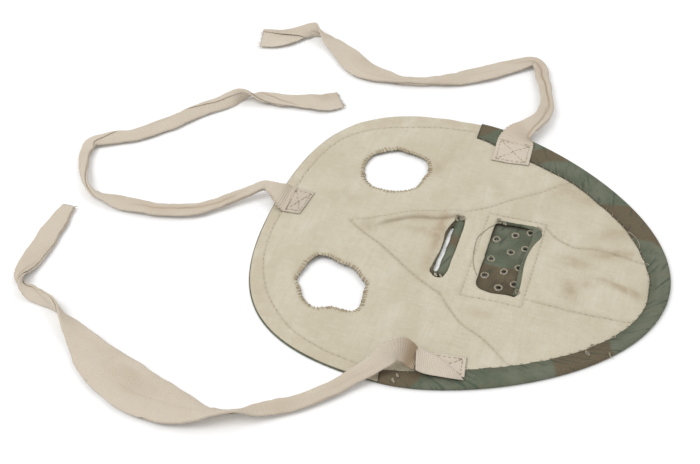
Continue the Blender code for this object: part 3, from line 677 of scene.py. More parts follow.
STAINS = [
    ((14, -66), (4, 8), 12, 0.8), ((18.5, -75), (3, 6), 20, 0.4), ((4.5, -51), (3, 6), 0, 0.6),
    ((3, -57), (2.5, 5), 0, 0.35), ((-4.5, -73), (1.8, 9), -8, 0.9), ((-7, -80), (2, 5), -10, 0.6),
    ((-14, -53), (7, 4), 25, 0.8), ((-7, -59), (4, 4), 0, 0.5), ((31, -24), (10, 4), -45, 0.25),
    ((54, -40), (6, 12), 40, 0.55), ((49, -50), (5, 8), 35, 0.5), ((30, -66), (4, 11), 38, 0.6),
    ((1, 14.5), (7, 4.5), 0, 0.6), ((-8, 12.8), (12, 2), 0, 0.6), ((9, 13.2), (10, 2.2), 0, 0.6),
    ((3, 21), (2.2, 9), 8, 0.5), ((13, 14), (5, 3), 0, 0.5), ((-17, 14), (7, 2.4), 20, 0.4),
    ((12, 22), (3, 10), 20, 0.35), ((-2, 47), (4, 5), 0, 0.4), ((48, 27), (8, 5), 0, 0.5),
    ((14, 62), (5, 10), 0, 0.35), ((-40.5, -18), (3, 7), 0, 0.4), ((60, 20), (14, 8), 20, 0.25),
    ((-60, 80), (8, 10), 0, 0.2),
]


def stain(x, y):
    return np.clip(sum(s * spot(x, y, at, size, turn) for at, size, turn, s in STAINS), 0, 1)


def rim(x, y):
    """The band outside the forehead's stitch line, where two layers of cloth show through."""
    return smoothstep(-0.5, 1.5, within(np.vstack([BROW, [(79, -60), (-79, -60)]]), x, y)) * smoothstep(12, 18, y)


def soil_and_shade(x, y):
    """Darker along the seams, the forehead stitch line and round the eye holes, with painted shade in and below the
    nose fold's crease.
    """
    total = 0 * x
    for line, depth in SEAMS:
        far, place, side = beside(line, x, y)
        dirt_and_shade = (0.30 * depth + 0.12 * noise(place, 0 * place, 9, 15)) * hump(far, 0.5) + 0.07 * depth * hump(far, 2)
        total = np.maximum(total, dirt_and_shade)
    # Painted shade: a dark line in the nose fold's crease, and a soft shade below it on the gusset's side.
    far, place, side = beside(FOLD, x, y)
    grow = smoothstep(2, 14, place)
    total = np.maximum(total, grow * 0.75 * hump(far * side + 0.5, 0.6))
    total = np.maximum(total, grow * (side < 0) * 0.18 * hump(far, 2.4))
    total = np.maximum(total, 0.26 * hump(beside(BROW, x, y)[0], 0.45))
    for eye in EYES:
        total = np.maximum(total, (0.26 + 0.22 * noise(x, y, 6, 16)) * hump(within(eye, x, y), 1.4))
    return np.clip(total, 0, 1)


soil_and_shade_at = Sampled(soil_and_shade)


def outer_brown(x, y):
    """How brown the outer cloth is, with a set border behind the mouth window and the slit."""
    near = 1 - smoothstep(2, 10, within([(-30, -36), (26, -36), (26, -5), (-30, -5)], x, y))
    window = 1 - smoothstep(-10, -7, x + 0.8 * noise(x, y, 4, 22))
    return (0.35 + 0.75 * noise(x, y, 26, 21)) * (1 - near) + near * 1.1 * window


def window_shade_and_tone(x, y):
    # Painted shade on the vent cloth where the lining's edge overhangs it: strongest along the right and lower edges
    # and toward the left end, over a faint random tone.
    edge = -within(WINDOW_EDGE, x, y)
    edge_shade = 0.3 + 0.55 * np.maximum(smoothstep(0, 12, x), smoothstep(-24, -28, y))
    return np.clip(edge_shade * hump(edge, 1.6) + 0.3 * (1 - smoothstep(-26, -8, x)) + 0.12 + 0.2 * noise(x, y, 5, 24),
        0, 1) * (edge > -3)


VENT = [(-29, -33.8), (23, -34.6), (22.6, -8), (-28.6, -8.8)]
vents = [[(x + 1.12 * math.cos(a), y + 1.08 * math.sin(a)) for a in np.linspace(0, 2 * math.pi, 17)[:-1]]
    for x, y in EYELETS]


def outer_top(x, y):
    return ground(x, y) + 0.6


def seam_rule(x, y):
    return np.max([hump(beside(line, x, y)[0], 0.8) for line, _ in SEAMS], axis=0)


seam_at = Sampled(seam_rule)
wide_eyes = [eye.mean(axis=0) + (eye - eye.mean(axis=0)) * 1.09 for eye in EYES]
outer = cloth_piece(
    "outer_cloth", OUTLINE, [*wide_eyes, GAP_EDGE, VENT], 1.05, outer_top, lambda x, y: 0.5 - 0.32 * seam_at(x, y),
    CAMO,
    values={"brown": outer_brown, "soil_and_shade": lambda x, y: 0.6 * seam_at(x, y)},
    nodes=["outer_upper_panel", "outer_nose_gusset", "outer_chin_right_panel", "outer_chin_left_panel"],
    slot="outer_cloth",
)
vent = cloth_piece(
    "mouth_vent_cloth", VENT, vents, 0.5, lambda x, y: outer_top(x, y) + 0.05 * noise(x, y, 5, 23), 0.5, CAMO,
    values={"brown": outer_brown, "soil_and_shade": window_shade_and_tone}, nodes=["outer_chin_centre_panel"], slot="outer_cloth",
)
inner_edge = OUTLINE * (1 - 0.55 / np.linalg.norm(OUTLINE, axis=1))[:, None]
lining = cloth_piece(
    "lining_cloth", inner_edge, [*EYES, SLIT_EDGE, WINDOW_EDGE], 0.76, lining_top, 0.5, LINING,
    values={"stain": stain, "rim": rim, "soil_and_shade": soil_and_shade_at},
    nodes=["lining_upper_panel", "lining_nose_gusset", "lining_chin_right_panel", "lining_chin_left_panel",
    "lining_chin_centre_panel"], slot="lining_cloth",
)


HEM_STEP, HEM_TOP = 1.4, 14.6


def hem_strip():
    """The turned hem: a strip that comes up round the edge and lies on the lining."""
    start = next(i for i, p in enumerate(OUTLINE) if p[1] > HEM_TOP)
    outer_line = even(np.concatenate([OUTLINE[:start][::-1],
        OUTLINE[::-1][: len(OUTLINE[OUTLINE[:, 1] < HEM_TOP]) - start]]), HEM_STEP)
    rows = len(outer_line)
    inner = even(HEM, 0.5)
    inner = np.stack([np.interp(np.linspace(0, 1, rows), np.linspace(0, 1, len(inner)), inner[:, k]) for k in (0, 1)],
        axis=1)
    bands = [(-9, 7, 0.9), (33, 48, 0.85), (89, 119, 0.85), (195, 226, 0.95), (286, 316, 1.0)]
    sides, uv, brown, dirt_and_shade = ([], []), [], [], []
    for r, (o, i) in enumerate(zip(outer_line, inner)):
        run = r * HEM_STEP
        across = (i - o) / np.linalg.norm(i - o)
        width = np.linalg.norm(i - o) + 0.35 * float(noise(run, 3, 9, 31)) + 0.2 * float(noise(run, 0, 4, 32))
        shape = [(1.5, -1.6), (0.4, -1.55), (-0.25, -1.2), (-0.42, -0.5), (-0.2, 0.05), (0.4, 0.42)]
        shape += [(t * width, 0.62 + 0.16 * math.sin(math.pi * t)) for t in np.linspace(0.1, 0.92, 13)]
        shape = np.array(shape + [(width - 0.25, 0.48), (width, 0.15)])
        way = np.gradient(shape, axis=0)
        way /= np.linalg.norm(way, axis=1)[:, None]
        d = shape[:, 0]
        base = ground(o[0] + across[0] * np.maximum(d, 2), o[1] + across[1] * np.maximum(d, 2)) + 1.62
        wrinkle = np.where(shape[:, 1] > 0.3, 0.2 * noise(run + d, d * 0.6, 7, 33) + 0.1 * noise(run - d, d, 2.6, 34),
            0)
        for k, depth in ((0, 0.0), (1, 0.42)):
            q = shape + np.stack([way[:, 1], -way[:, 0]], axis=1) * depth
            z = np.maximum(base + q[:, 1] + wrinkle, 0.04 + 0.4 * k)
            sides[k].append(np.column_stack([o + across * q[:, :1], z]))
        uv.append(np.column_stack([np.full(len(d), run), d + 20]))
        place = run + 0.9 * (d - 6) + 1.5 * noise(run, d, 5, 35)
        brown.append(np.max([s * smoothstep(a - 2, a + 2, place) * (1 - smoothstep(b - 2, b + 2, place))
            for a, b, s in bands], axis=0))
        # Painted shadow along the hem's inner edge, where it lies on the lining, and darker cut ends.
        dirt_and_shade.append(0.55 * hump(width - d, 0.6) + 0.12 * hump(width - d - 2, 1.5)
            + (0.5 if r < 1 or r > rows - 2 else 0))
    points, faces = slab(np.array(sides[0]), np.array(sides[1]))
    double = [np.concatenate([np.ravel(v), np.ravel(v)]) for v in (brown, dirt_and_shade)]
    uv = np.concatenate([np.concatenate(uv)] * 2)
    return make("chin_hem_strip", points, faces, HEM_CAMO, uv=uv, values={"brown": double[0], "soil_and_shade": double[1]},
        nodes=["chin_hem"], slot="hem_cloth")


hem = hem_strip()

# ---------------------------------------------------------------- the slit and the mouth window


STRIP_COLUMNS = 9


def strip(name, line, half, heights, material, brown, dark, **more):
    """A soft strip of cloth: an arched top and a flat underside, of a changing width, along a line."""
    line = np.array(line, float)
    rows = len(line)
    tangent = np.gradient(line[:, :2], axis=0)
    tangent /= np.linalg.norm(tangent, axis=1)[:, None]
    side = np.stack([-tangent[:, 1], tangent[:, 0]], axis=1)
    points, columns = [], STRIP_COLUMNS
    for r in range(rows):
        taper = 0.25 if r in (0, rows - 1) else 1.0
        for c in range(2 * columns):
            t = -1 + 2 * (c if c < columns else 2 * columns - 1 - c) / (columns - 1)
            x, y = line[r, :2] + side[r] * t * half[r]
            arch = math.sqrt(max(0.0, 1 - t * t)) * heights[1] * taper
            z = line[r, 2] + (arch if c < columns else -heights[0] * arch / max(heights[1], 1e-6))
            points.append((x, y, z))
    xy = np.array(points)[:, :2]
    values = {"brown": brown(*xy.T), "soil_and_shade": dark(*xy.T)}
    faces = ring_faces(rows, 2 * columns, caps=True)
    return make(name, points, [f[::-1] for f in faces], material, uv=xy, values=values, **more)


def laid(points, lift, over, step=1.5):
    """A line in the plane, with its heights a little above a surface."""
    line = even(smooth_line(points, step), step)[:, :2]
    return np.stack([line[:, 0], line[:, 1], over(line[:, 0], line[:, 1]) + lift], axis=1)


lower_line = laid([(-24.2, 5.2), (-12, 5.1), (0, 5.1), (9, 5.4), (14, 5.7), (18, 6.3)], 0.35, outer_top, 1.0)
strip(
    "slit_lower_lip_cloth", lower_line,
    2.35 + 0.15 * np.sin(np.arange(len(lower_line)) * 0.7) - 0.7 * smoothstep(34, 42, np.arange(len(lower_line))),
    (0.5, 0.7), CAMO,
    brown=lambda x, y: 0.9 * hump(x - 1, 5),
    # Painted shade at the left end, for the dark hole where the slit runs on; also darker along the gap's edge and
    # the lower edge.
    dark=lambda x, y: 0.9 * (1 - smoothstep(-23.5, -20, x)) + 0.3 * smoothstep(6.2, 6.9, y) + 0.25 * (y < 3.4),
    nodes=["nose_slit_lower_lip"], slot="hem_cloth",
)
upper_line = laid([(-24.6, 9.6), (-16, 10.7), (-10, 10.5), (0, 10.4), (6, 10.4), (11, 9.5), (16, 7.6)], 0.3,
    outer_top, 1.0)
strip(
    "slit_upper_lip_cloth", upper_line, 1.05 + 0.2 * np.sin(np.arange(len(upper_line)) * 0.9), (0.4, 0.55), CAMO,
    brown=lambda x, y: 1.1 - 0.6 * smoothstep(8, 14, x),
    # Painted shade at the left end, as on the lower lip, and darker toward the right end.
    dark=lambda x, y: 0.7 * (1 - smoothstep(-23, -20, x)) + 0.35 * smoothstep(6, 11, x),
    nodes=["nose_slit_upper_lip"], slot="hem_cloth",
)
flap_path = [
    (19.4, -11.4), (19.7, -16), (19.8, -21), (19.8, -26), (19.3, -29.6), (17, -31.3), (13, -31.3), (9, -30.4),
    (5, -29.7), (0, -29), (-5, -28.9), (-10, -29.2), (-16, -29.8), (-21, -30.2), (-25.6, -29.8),
]
flap_line = laid(flap_path, 0.35, lining_top, 1.0)
share = np.linspace(0, 1, len(flap_line))
flap_half = 0.75 + 1.35 * hump(share - 0.36, 0.09) + 0.45 * smoothstep(0.62, 0.85, share)
flap_line[:, 2] -= 0.5 * smoothstep(0.3, 0.45, share)
strip(
    "mouth_window_rolled_edge", flap_line, flap_half, (0.6, 0.7), CAMO, brown=lambda x, y: 0.1 + 0 * x,
    # Painted shade where the lining's edge overhangs the roll: along the window's right side and toward its left end.
    dark=lambda x, y: 0.45 * smoothstep(-26, -22, y) + 0.25 * (1 - smoothstep(-24, -14, x)),
    nodes=["mouth_window_flap"], slot="hem_cloth",
)

RING_RADIUS, RING_THREAD, RING_RIDGE, RING_DEPTH = 1.66, 0.27, 0.16, 0.42
for number, (x, y) in enumerate(EYELETS, start=1):
    rows, columns, loops = 60, 8, 17 + number % 4
    centre_z = float(outer_top(x, y)) - 0.2
    points = []
    for r in range(rows):
        turn = 2 * math.pi * r / rows
        ridge = 0.5 + 0.5 * math.sin(loops * turn + number)
        wobble = 0.22 * float(noise(6 * math.cos(turn) + 9 * number, 6 * math.sin(turn), 4, 41))
        big, fat = RING_RADIUS + wobble, RING_THREAD + RING_RIDGE * ridge
        for c in range(columns):
            a = 2 * math.pi * c / columns
            d = big + fat * 1.15 * math.cos(a)
            points.append((x + d * math.cos(turn), y + 0.95 * d * math.sin(turn),
                centre_z + (fat * 0.9 + RING_DEPTH) * math.sin(a)))
    make(
        f"mouth_eyelet_ring_{number:02d}", points, [f[::-1] for f in ring_faces(rows, columns, closed_along=True)],
        PALE_THREAD,
        nodes=[f"mouth_eyelet_{number:02d}"], slot="thread",
    )

# ---------------------------------------------------------------- sewing on the veil


def under(x, y):
    """The bottom of the seams' grooves in the outer cloth's underside."""
    return ground(x, y) + 0.36


def seam(node, line, lift):
    """A seam's stitches, on the lining and on the outer cloth's underside."""
    line = even(smooth_line(line, 3), 0.5)
    tubes(f"{node}_threads", stitch_lines(line, lift=lift) + stitch_lines(line, lift=-0.12, over=under), 0.16,
        SEAM_THREAD, nodes=[node], slot="thread")


for node, line, lift in (
    ("nose_seam_stitch_left", NOSE_LEFT, 0.1), ("nose_seam_stitch_right", NOSE_RIGHT, 0.05),
    ("cheek_seam_stitch_left", CHEEK_LEFT[:-1], 0.1), ("cheek_seam_stitch_right", CHEEK_RIGHT[:-1], 0.1),
    ("chin_seam_stitch_left", CHIN_LEFT[:-1], 0.1), ("chin_seam_stitch_right", CHIN_RIGHT[:-1], 0.1),
):
    seam(node, line, lift)
tubes("mouth_window_threads", stitch_lines(even(FACING + [FACING[0]], 0.5), lift=0.1), 0.15, SEAM_THREAD,
    nodes=["mouth_window_stitch"], slot="thread")
tubes("forehead_edge_threads", stitch_lines(even(BROW, 0.5), lift=0.1, length=2.4), 0.15, SEAM_THREAD,
    nodes=["forehead_edge_stitch"], slot="thread")
slip = []
inner = even(HEM, 0.5)
for k in range(6, len(inner) - 8, 9):
    a, b = inner[k], inner[k + 3]
    away = np.array([-(b - a)[1], (b - a)[0]]) / np.linalg.norm(b - a)
    p, q = a + away * 0.8, b - away * 0.5
    t = np.linspace(0, 1, 5)[:, None]
    xy = p + (q - p) * t
    slip.append(np.column_stack([xy, surface(xy[:, 0], xy[:, 1]) + np.array([-0.2, 0.15, 0.2, 0.1, -0.2])]))
tubes("hem_slip_threads", slip, 0.11, PALE_THREAD, nodes=["hem_slip_stitch"], slot="thread")

for side, eye, seed in (("right", EYES[0], 51), ("left", EYES[1], 52)):
    edge = even(np.vstack([eye, eye[:1]]), 0.4)
    tangent = np.gradient(edge, axis=0)
    out = np.stack([-tangent[:, 1], tangent[:, 0]], axis=1)
    out /= np.linalg.norm(out, axis=1)[:, None]
    if within(eye, *(edge[0] + out[0]))[()] < 0:
        out = -out
    lines, k = [], 0
    while k < len(edge) - 1:
        reach = 1.6 + 0.7 * float(noise(k, 0, 12, seed)) + 0.5 * rng.random()
        lean = np.array([-out[k][1], out[k][0]]) * rng.normal(0.35, 0.25)
        d = np.array([reach, reach * 0.6, 0.3, -0.25, -0.4, 0.1])
        xy = edge[k] + d[:, None] * out[k] + (d[:, None] / reach) * lean
        top = lining_top(xy[:, 0], xy[:, 1])
        z = np.array([top[0] - 0.2, top[1] + 0.2, top[2] + 0.3, top[3] + 0.1, top[3] - 0.5, top[3] - 1.3])
        lines.append(np.column_stack([xy, np.maximum(z, 0.2)]))
        k += int(2 + rng.integers(0, 4))
    tubes(f"{side}_eye_whip_threads", lines, 0.2, EYE_THREAD, sides=5, nodes=[f"{side}_eye_whip_stitch"],
        slot="thread")


# ---------------------------------------------------------------- the ties


TAPE_STEP, TAPE_COLUMNS, TAPE_THICK, FLUSH_ROWS = 1.1, 59, 0.5, 6
LAYER_RADIUS = 0.31


def section(width, half, count):
    """A tape's cross-section: flat where it is open, and folded over on itself where it is narrow."""
    radius = LAYER_RADIUS * float(smoothstep(width / 2 - 0.1, width / 2 - 0.6, half))
    if radius < 0.02:
        return np.stack([np.linspace(-half, half, count), np.zeros(count)], axis=1)
    run, left, points, at, height, way = 2 * (half - radius), width, [], -(half - radius), 0.0, 1
    while left > 0:
        points += [(at + way * t * run, height) for t in np.linspace(0, 1, 14)]
        at += way * run
        points += [(at + way * radius * math.sin(a), height + radius * (1 - math.cos(a)))
            for a in np.linspace(0, math.pi, 7)[1:]]
        left, height, way = left - run - math.pi * radius, height + 2 * radius, -way
    points = np.array(points)
    along = np.concatenate([[0], np.cumsum(np.linalg.norm(np.diff(points, axis=0), axis=1))])
    at = np.linspace(0, width, count)
    return np.stack([np.interp(at, along, points[:, k]) for k in (0, 1)], axis=1)


def tape(name, route, root, width, node, seed, flip=1, painted_shades=(), creases=()):
    """A tie: a cloth tape of one width that folds, opens and twists along its route from its sewn root.

    A painted shade is a soft darker stretch that stands in for shade: its middle, its size and its strength. A crease
    runs lengthwise: its start and end along the tape, its place across at both, from -1 to 1, and its depth; it is
    also painted darker as shade.
    """
    line = even(smooth_line(route, 1.0), TAPE_STEP)
    if root is not None:
        line = np.vstack([[(*root, float(surface(*root)) + 0.66, line[0, 3], line[0, 4])], line])
    rows, count = len(line), TAPE_COLUMNS
    tangent = np.gradient(line[:, :3], axis=0)
    tangent /= np.linalg.norm(tangent, axis=1)[:, None]
    side = np.cross([0, 0, 1.0], tangent)
    side /= np.linalg.norm(side, axis=1)[:, None]
    up = np.cross(tangent, side)
    roll = np.radians(line[:, 4])[:, None]
    across, over = np.cos(roll) * side + np.sin(roll) * up, np.cos(roll) * up - np.sin(roll) * side
    faces_of, low, dirt_and_shade = ([], []), [], []
    for r in range(rows):
        shape, half = section(width, line[r, 3], count), line[r, 3]
        x, z, fade, run = shape[:, 0] * flip, shape[:, 1] - shape[:, 1].max() / 2, smoothstep(2, 12, r), r * TAPE_STEP
        z = z + fade * (0.3 + 0.3 * noise(run, 0, 9, seed)) * (1 - (shape[:, 0] / half) ** 2) * smoothstep(0.1, 0.6,
            shape[:, 1])
        z = z + fade * (0.3 * noise(x + 50, run, 7, seed + 1)
            + 0.12 * noise(x, run, 2.8, seed + 4)) + 0.02 * half * fade * (x / half) ** 2
        x = x + fade * (0.35 * noise(run, 0, 7, seed + 2) + 0.12 * noise(run, 5, 2.5, seed + 3))
        shade = np.full(count, sum(s * math.exp(-(((run - at) / size) ** 2)) for at, size, s in painted_shades))
        # Creases are raised a little and painted darker along their line, as painted shade.
        for begin, end, u, v, deep in creases:
            if begin < run < end:
                t = (run - begin) / (end - begin)
                there = deep * math.sin(math.pi * t) ** 0.6 * hump((shape[:, 0] / half - u - (v - u) * t) * half,
                    0.55) * (shape[:, 1] < 0.1)
                z = z + 0.3 * there
                shade = shade + there
        slope = np.gradient(np.stack([x, z], axis=1), axis=0)
        slope /= np.maximum(np.linalg.norm(slope, axis=1), 1e-9)[:, None]
        normal = np.stack([-slope[:, 1], slope[:, 0]], axis=1) * flip
        thin = np.minimum(1, 0.3 + np.minimum(np.arange(count), np.arange(count)[::-1]) / 3)[:, None]
        for k, way in ((0, 1), (1, -1)):
            q = np.stack([x, z], axis=1) + normal * (way * TAPE_THICK / 2 * thin)
            faces_of[k].append(line[r, :3] + q[:, :1] * across[r] + q[:, 1:] * over[r])
        low.append(min(faces_of[0][-1][:, 2].min(), faces_of[1][-1][:, 2].min()))
        dirt_and_shade.append(shade)
    lift = np.maximum(0.1 - np.array(low), 0)
    lift = np.convolve(np.pad([lift[max(0, r - 3) : r + 4].max() for r in range(rows)], 3, mode="edge"),
        np.ones(7) / 7, mode="valid")
    lift[:2] = 0
    line[:, 2] += lift
    top, bottom = (np.array(f) + lift[:, None, None] * [0, 0, 1] for f in faces_of)
    for r in range(FLUSH_ROWS if root is not None else 0):
        flush = (1 - smoothstep(0, 5, r)) * (surface(top[r, :, 0], top[r, :, 1]) + 0.68 + 0.05 * min(r, 2)
            - np.maximum(top[r, :, 2], bottom[r, :, 2]))
        top[r, :, 2] += flush
        bottom[r, :, 2] += flush
    for f in (top, bottom):
        f[..., 2] = np.maximum(f[..., 2], 0.06)
    points, faces = slab(top, bottom)
    cloth = np.stack(np.meshgrid(np.linspace(0, width, count), np.arange(rows) * TAPE_STEP), axis=-1).reshape(-1, 2)
    # The tape's underside is painted a little darker, as painted shade.
    dirt_and_shade = np.concatenate([np.ravel(dirt_and_shade), np.ravel(dirt_and_shade) + 0.1])
    return make(name, points, faces, TAPE, body=None, uv=np.vstack([cloth, cloth]), values={"soil_and_shade": dirt_and_shade},
        nodes=[node], slot="tie_cloth"), line


def quilt(name, at, height, rows, columns, node, cloth=(20, 20), thick=0.5, tuck=()):
    """A flat bit of tape from at(a, b), its place for two shares from 0 to 1, and a rule for its height."""
    b, a = np.meshgrid(np.linspace(0, 1, rows), np.linspace(0, 1, columns), indexing="ij")
    xy = at(a[..., None], b[..., None])
    z = height(xy[..., 0], xy[..., 1], a, b)
    edge = np.ones(z.shape)
    edge[1:-1, 1:-1] = 0
    for row, column in tuck:
        edge[row, column] = 0
    top, bottom = np.dstack([xy, z - 0.16 * edge]), np.dstack([xy, z - thick + 0.1 * edge])
    points, faces = slab(top, bottom)
    uv = np.column_stack([cloth[0] * b.ravel(), cloth[1] * a.ravel()])
    make(name, points, faces, TAPE, uv=np.vstack([uv, uv]), values={"soil_and_shade": np.zeros(len(points))}, nodes=[node],
        slot="tie_cloth")


def sewn_end(name, corners, node):
    """A tie's flat end, sewn down with a box and a cross. The tie leaves it between its second and third corners."""
    corners = np.array(corners, float)
    middle = corners.mean(axis=0)
    inner = middle + (corners - middle) * 0.80
    lines = [even(np.vstack([inner, inner[:1]]), 0.4), even([inner[0], inner[2]], 0.4),
        even([inner[1], inner[3]], 0.4)]

    def height(x, y, a, b):
        z = surface(x, y) + 0.85 + 0.12 * noise(x, y, 3, 71) - 0.12 * smoothstep(0.88, 1, a)
        for line in lines:
            z = z - 0.18 * hump(beside(line, x, y)[0], 0.8)
        return z

    quilt(name, lambda a, b: (corners[0] * (1 - a) + corners[1] * a) * (1 - b)
        + (corners[3] * (1 - a) + corners[2] * a) * b, height, 25, 25, node, tuck=[(slice(1, -1), -1)])
    return lines


def box_threads(name, lines, node, over):
    made = []
    for line in lines:
        made += stitch_lines(line, length=1.9, gap=0.45, lift=0.12, over=over)
    tubes(name, made, 0.16, TIE_THREAD, nodes=[node] if node else (), slot="thread")


def on_end(x, y):
    return surface(x, y) + 0.76


for side, corners, node in (("right", RIGHT_END, "right_tie_box_stitch"), ("top", TOP_END, "top_tie_box_stitch"),
    ("left", LEFT_END, None)):
    box_threads(f"{side}_tie_box_threads", sewn_end(f"{side}_tie_sewn_patch", corners, f"{side}_tie_sewn_end"), node,
        on_end)

right_tie, right_path = tape(
    "right_tie_tape", RIGHT_TIE, (79.1, -6.3), 19.0, "right_tie", 60, flip=-1, painted_shades=[(7, 4, 0.22)],
    creases=[(4, 34, -0.75, 0.1, 0.6), (26, 82, -0.3, 0.25, 0.8), (70, 92, 0.5, -0.2, 0.3),
    (95, 125, 0.1, -0.1, 0.15), (150, 190, 0.5, 0.2, 0.15)],
)
top_tie, top_path = tape(
    "top_tie_tape", TOP_TIE, (2.4, 88.0), 18.0, "top_tie", 70, flip=-1, painted_shades=[(3, 3, 0.06)],
    creases=[(30, 60, 0.3, -0.2, 0.45), (44, 84, -0.35, 0.1, 0.5), (22, 40, -0.3, 0.3, 0.2),
    (236, 262, 0.9, -0.8, 0.6), (222, 236, 0.7, -0.8, 0.5)],
)
# The left tie's strong painted shade near its root stands for the shade inside its arch.
left_tie, left_path = tape("left_tie_tape", LEFT_TIE, None, 21.0, "left_tie", 80, flip=-1, painted_shades=[(4, 6, 0.8)],
    creases=[(20, 55, 0.4, -0.1, 0.12), (90, 150, -0.2, 0.3, 0.12), (206, 232, 0.8, -0.7, 0.5)])

crease, far_corner = (np.array([-79.6, -20.4]), np.array([-69, 3.4])), np.array([-83.3, -0.4])
BOW = np.array([2.4, -1.1])
quilt(
    "left_tie_turned_flap",
    lambda a, b: (crease[0] + (crease[1] - crease[0]) * a + BOW * np.sin(math.pi * a)) * (1 - b)
    + (crease[0] + (far_corner - crease[0]) * a) * b,
    lambda x, y, a, b: surface(x, y) + 1.3 + 0.8 * a**2 + 2.6 * a**6 + 0.5 * np.sin(math.pi * a)
    + 0.5 * np.sin(math.pi * b) * a - 0.3 * (b < 0.02), 17, 33, "left_tie_turned_end", cloth=(18, 26),
)

# ---------------------------------------------------------------- tacks, loose threads and frayed ends


def over_lips(x, y):
    return outer_top(x, y) + 1.3


def knot(at, size, turns, seed, over):
    """A small tangle of thread."""
    r = np.random.default_rng(seed)
    t = np.linspace(0, turns * 2 * math.pi, turns * 14)
    x = at[0] + size * (0.6 + 0.4 * r.random()) * np.cos(t + r.random()) * (1 - 0.3 * np.sin(2.3 * t))
    y = at[1] + size * 0.8 * np.sin(1.1 * t + r.random() * 3)
    z = over(x, y) + 0.2 + 0.35 * (1 + np.sin(1.7 * t)) / 2
    return np.column_stack([x, y, z])


tubes("nose_slit_left_tack_threads",
    [knot((-23.6, 5 + 2.4 * k), 1.0, 2, 90 + k, lambda x, y: ground(x, y) + 1.5) for k in range(3)], 0.16,
    SEAM_THREAD, nodes=["nose_slit_left_bar_tack"], slot="thread")
tubes(
    "nose_slit_right_tack_threads",
    [knot((16.4, 5.2), 1.5, 3, 95, over_lips), knot((18.2, 8.4), 1.3, 3, 96, over_lips),
    knot((14.6, 7.6), 1.0, 2, 97, over_lips)],
    0.2, PALE_THREAD, nodes=["nose_slit_right_bar_tack"], slot="thread",
)
loose = [
    laid([(17.5, -10.6), (12, -7.4), (7.5, -5.2), (-1, -5.2), (-8.8, -6.5), (-14, -8.2), (-18, -10.6)], 0.2, surface,
    1.0),
    laid([(32.9, -71.3), (29.4, -75.6), (25.5, -77.9), (22.6, -78.6)], 0.45, surface, 1.0),
    knot((19.5, -12), 1.6, 2, 101, lambda x, y: surface(x, y) + 0.4), knot((18.6, -15), 1.1, 2, 102, over_lips),
    knot((19.8, -31.6), 1.5, 3, 103, over_lips), knot((-23.6, -30.6), 1.2, 2, 104, over_lips),
    knot((-35.1, -76), 0.9, 2, 105, surface), knot((-47.6, -66.9), 1.2, 3, 106, surface),
    knot((-45, -76.3), 0.8, 2, 107, surface),
    knot((-42.5, -68.1), 0.9, 2, 108, surface), knot((-88.6, 7.6), 0.9, 2, 109, surface),
    knot((-85.6, 6.6), 0.8, 2, 110, surface),
]
tubes("loose_threads", loose, 0.17, PALE_THREAD, slot="thread")


def fray(name, path, body):
    """Short fibres at a tie's cut end."""
    end, before = path[-1], path[-4]
    way = (end[:3] - before[:3]) / np.linalg.norm(end[:3] - before[:3])
    side = np.array([-way[1], way[0], 0])
    lines = []
    for _ in range(14):
        s, reach = rng.uniform(-1, 1) * end[3], rng.uniform(0.4, 1.9)
        p = end[:3] + side * s + [0, 0, rng.uniform(-0.5, 0.5)]
        bend = rng.normal(0, 0.5, 2)
        t = np.linspace(0, 1, 5)[:, None]
        line = p + way * reach * t + side * bend[0] * t**2
        line[:, 2] = np.maximum(line[:, 2] - 0.8 * t[:, 0] ** 2, 0.15)
        lines.append(line)
    return tubes(name, lines, 0.09, PALE_THREAD, sides=4, body=body, slot="tie_cloth")


right_fray = fray("right_tie_frayed_end", right_path, "right_tie_strap")
top_fray = fray("top_tie_frayed_end", top_path, "top_tie_strap")
left_fray = fray("left_tie_frayed_end", left_path, "left_tie_strap")

# ---------------------------------------------------------------- the ties' placements baked into their meshes


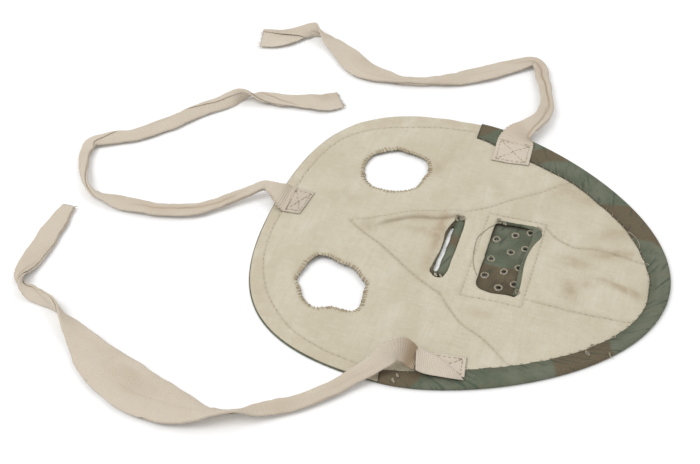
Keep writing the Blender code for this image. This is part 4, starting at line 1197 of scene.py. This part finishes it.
for strap, obj, path, width, ends, fringe in (
    ("right_tie_strap", right_tie, right_path, 0.019, ((78.5, -6.3, 3.5), (86.5, -6.3, 3.5)), right_fray),
    ("top_tie_strap", top_tie, top_path, 0.018, ((2.4, 88.5, 3.5), (3.2, 96.5, 3.5)), top_fray),
    ("left_tie_strap", left_tie, left_path, 0.021, ((-76, -0.5, 4.5), (-76, 8.0, 4.5)), left_fray),
):
    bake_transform(obj)

# ---------------------------------------------------------------- the stage


FLOOR_HALF = 3
LENS, SENSOR = 58.66, 36.0
CAMERA_AT, CAMERA_AIM = (-0.37641, -0.07136, 0.38265), (-0.00763, 0.05432, 0)
LIGHTS = (("key", (-0.5, 0.75, 1.3), 0.9, 9.5), ("fill", (0.8, -0.5, 1.4), 1.0, 4.0))


def studio():
    mesh = bpy.data.meshes.new("floor")
    mesh.from_pydata([(x * FLOOR_HALF, y * FLOOR_HALF, 0) for x, y in ((-1, -1), (1, -1), (1, 1), (-1, 1))], [],
        [(0, 1, 2, 3)])
    white = bpy.data.materials.new("white_floor")
    white.use_nodes = True
    shader = white.node_tree.nodes["Principled BSDF"]
    shader.inputs["Base Color"].default_value = (0.93, 0.93, 0.93, 1)
    shader.inputs["Roughness"].default_value = 1.0
    shader.inputs["Specular IOR Level"].default_value = 0.0
    mesh.materials.append(white)
    floor = bpy.data.objects.new("floor", mesh)
    bpy.context.scene.collection.objects.link(floor)
    scene = bpy.context.scene
    scene.view_settings.view_transform = "Standard"
    world = bpy.data.worlds.new("studio")
    world.use_nodes = True
    world.node_tree.nodes["Background"].inputs["Color"].default_value = (1, 1, 1, 1)
    world.node_tree.nodes["Background"].inputs["Strength"].default_value = 0.75
    scene.world = world
    for name, at, size, power in LIGHTS:
        light = bpy.data.lights.new(name, "AREA")
        light.shape, light.size, light.energy = "DISK", size, power
        lamp = bpy.data.objects.new(name, light)
        lamp.location = at
        lamp.rotation_euler = (Vector((0, 0.05, 0)) - Vector(at)).to_track_quat("-Z", "Y").to_euler()
        scene.collection.objects.link(lamp)
    camera = bpy.data.cameras.new("camera")
    camera.lens, camera.sensor_width = LENS, SENSOR
    eye = bpy.data.objects.new("camera", camera)
    place, aim = Vector(CAMERA_AT), Vector(CAMERA_AIM)
    eye.location = place
    eye.rotation_euler = (aim - place).to_track_quat("-Z", "Y").to_euler()
    scene.collection.objects.link(eye)
    scene.camera = eye


studio()
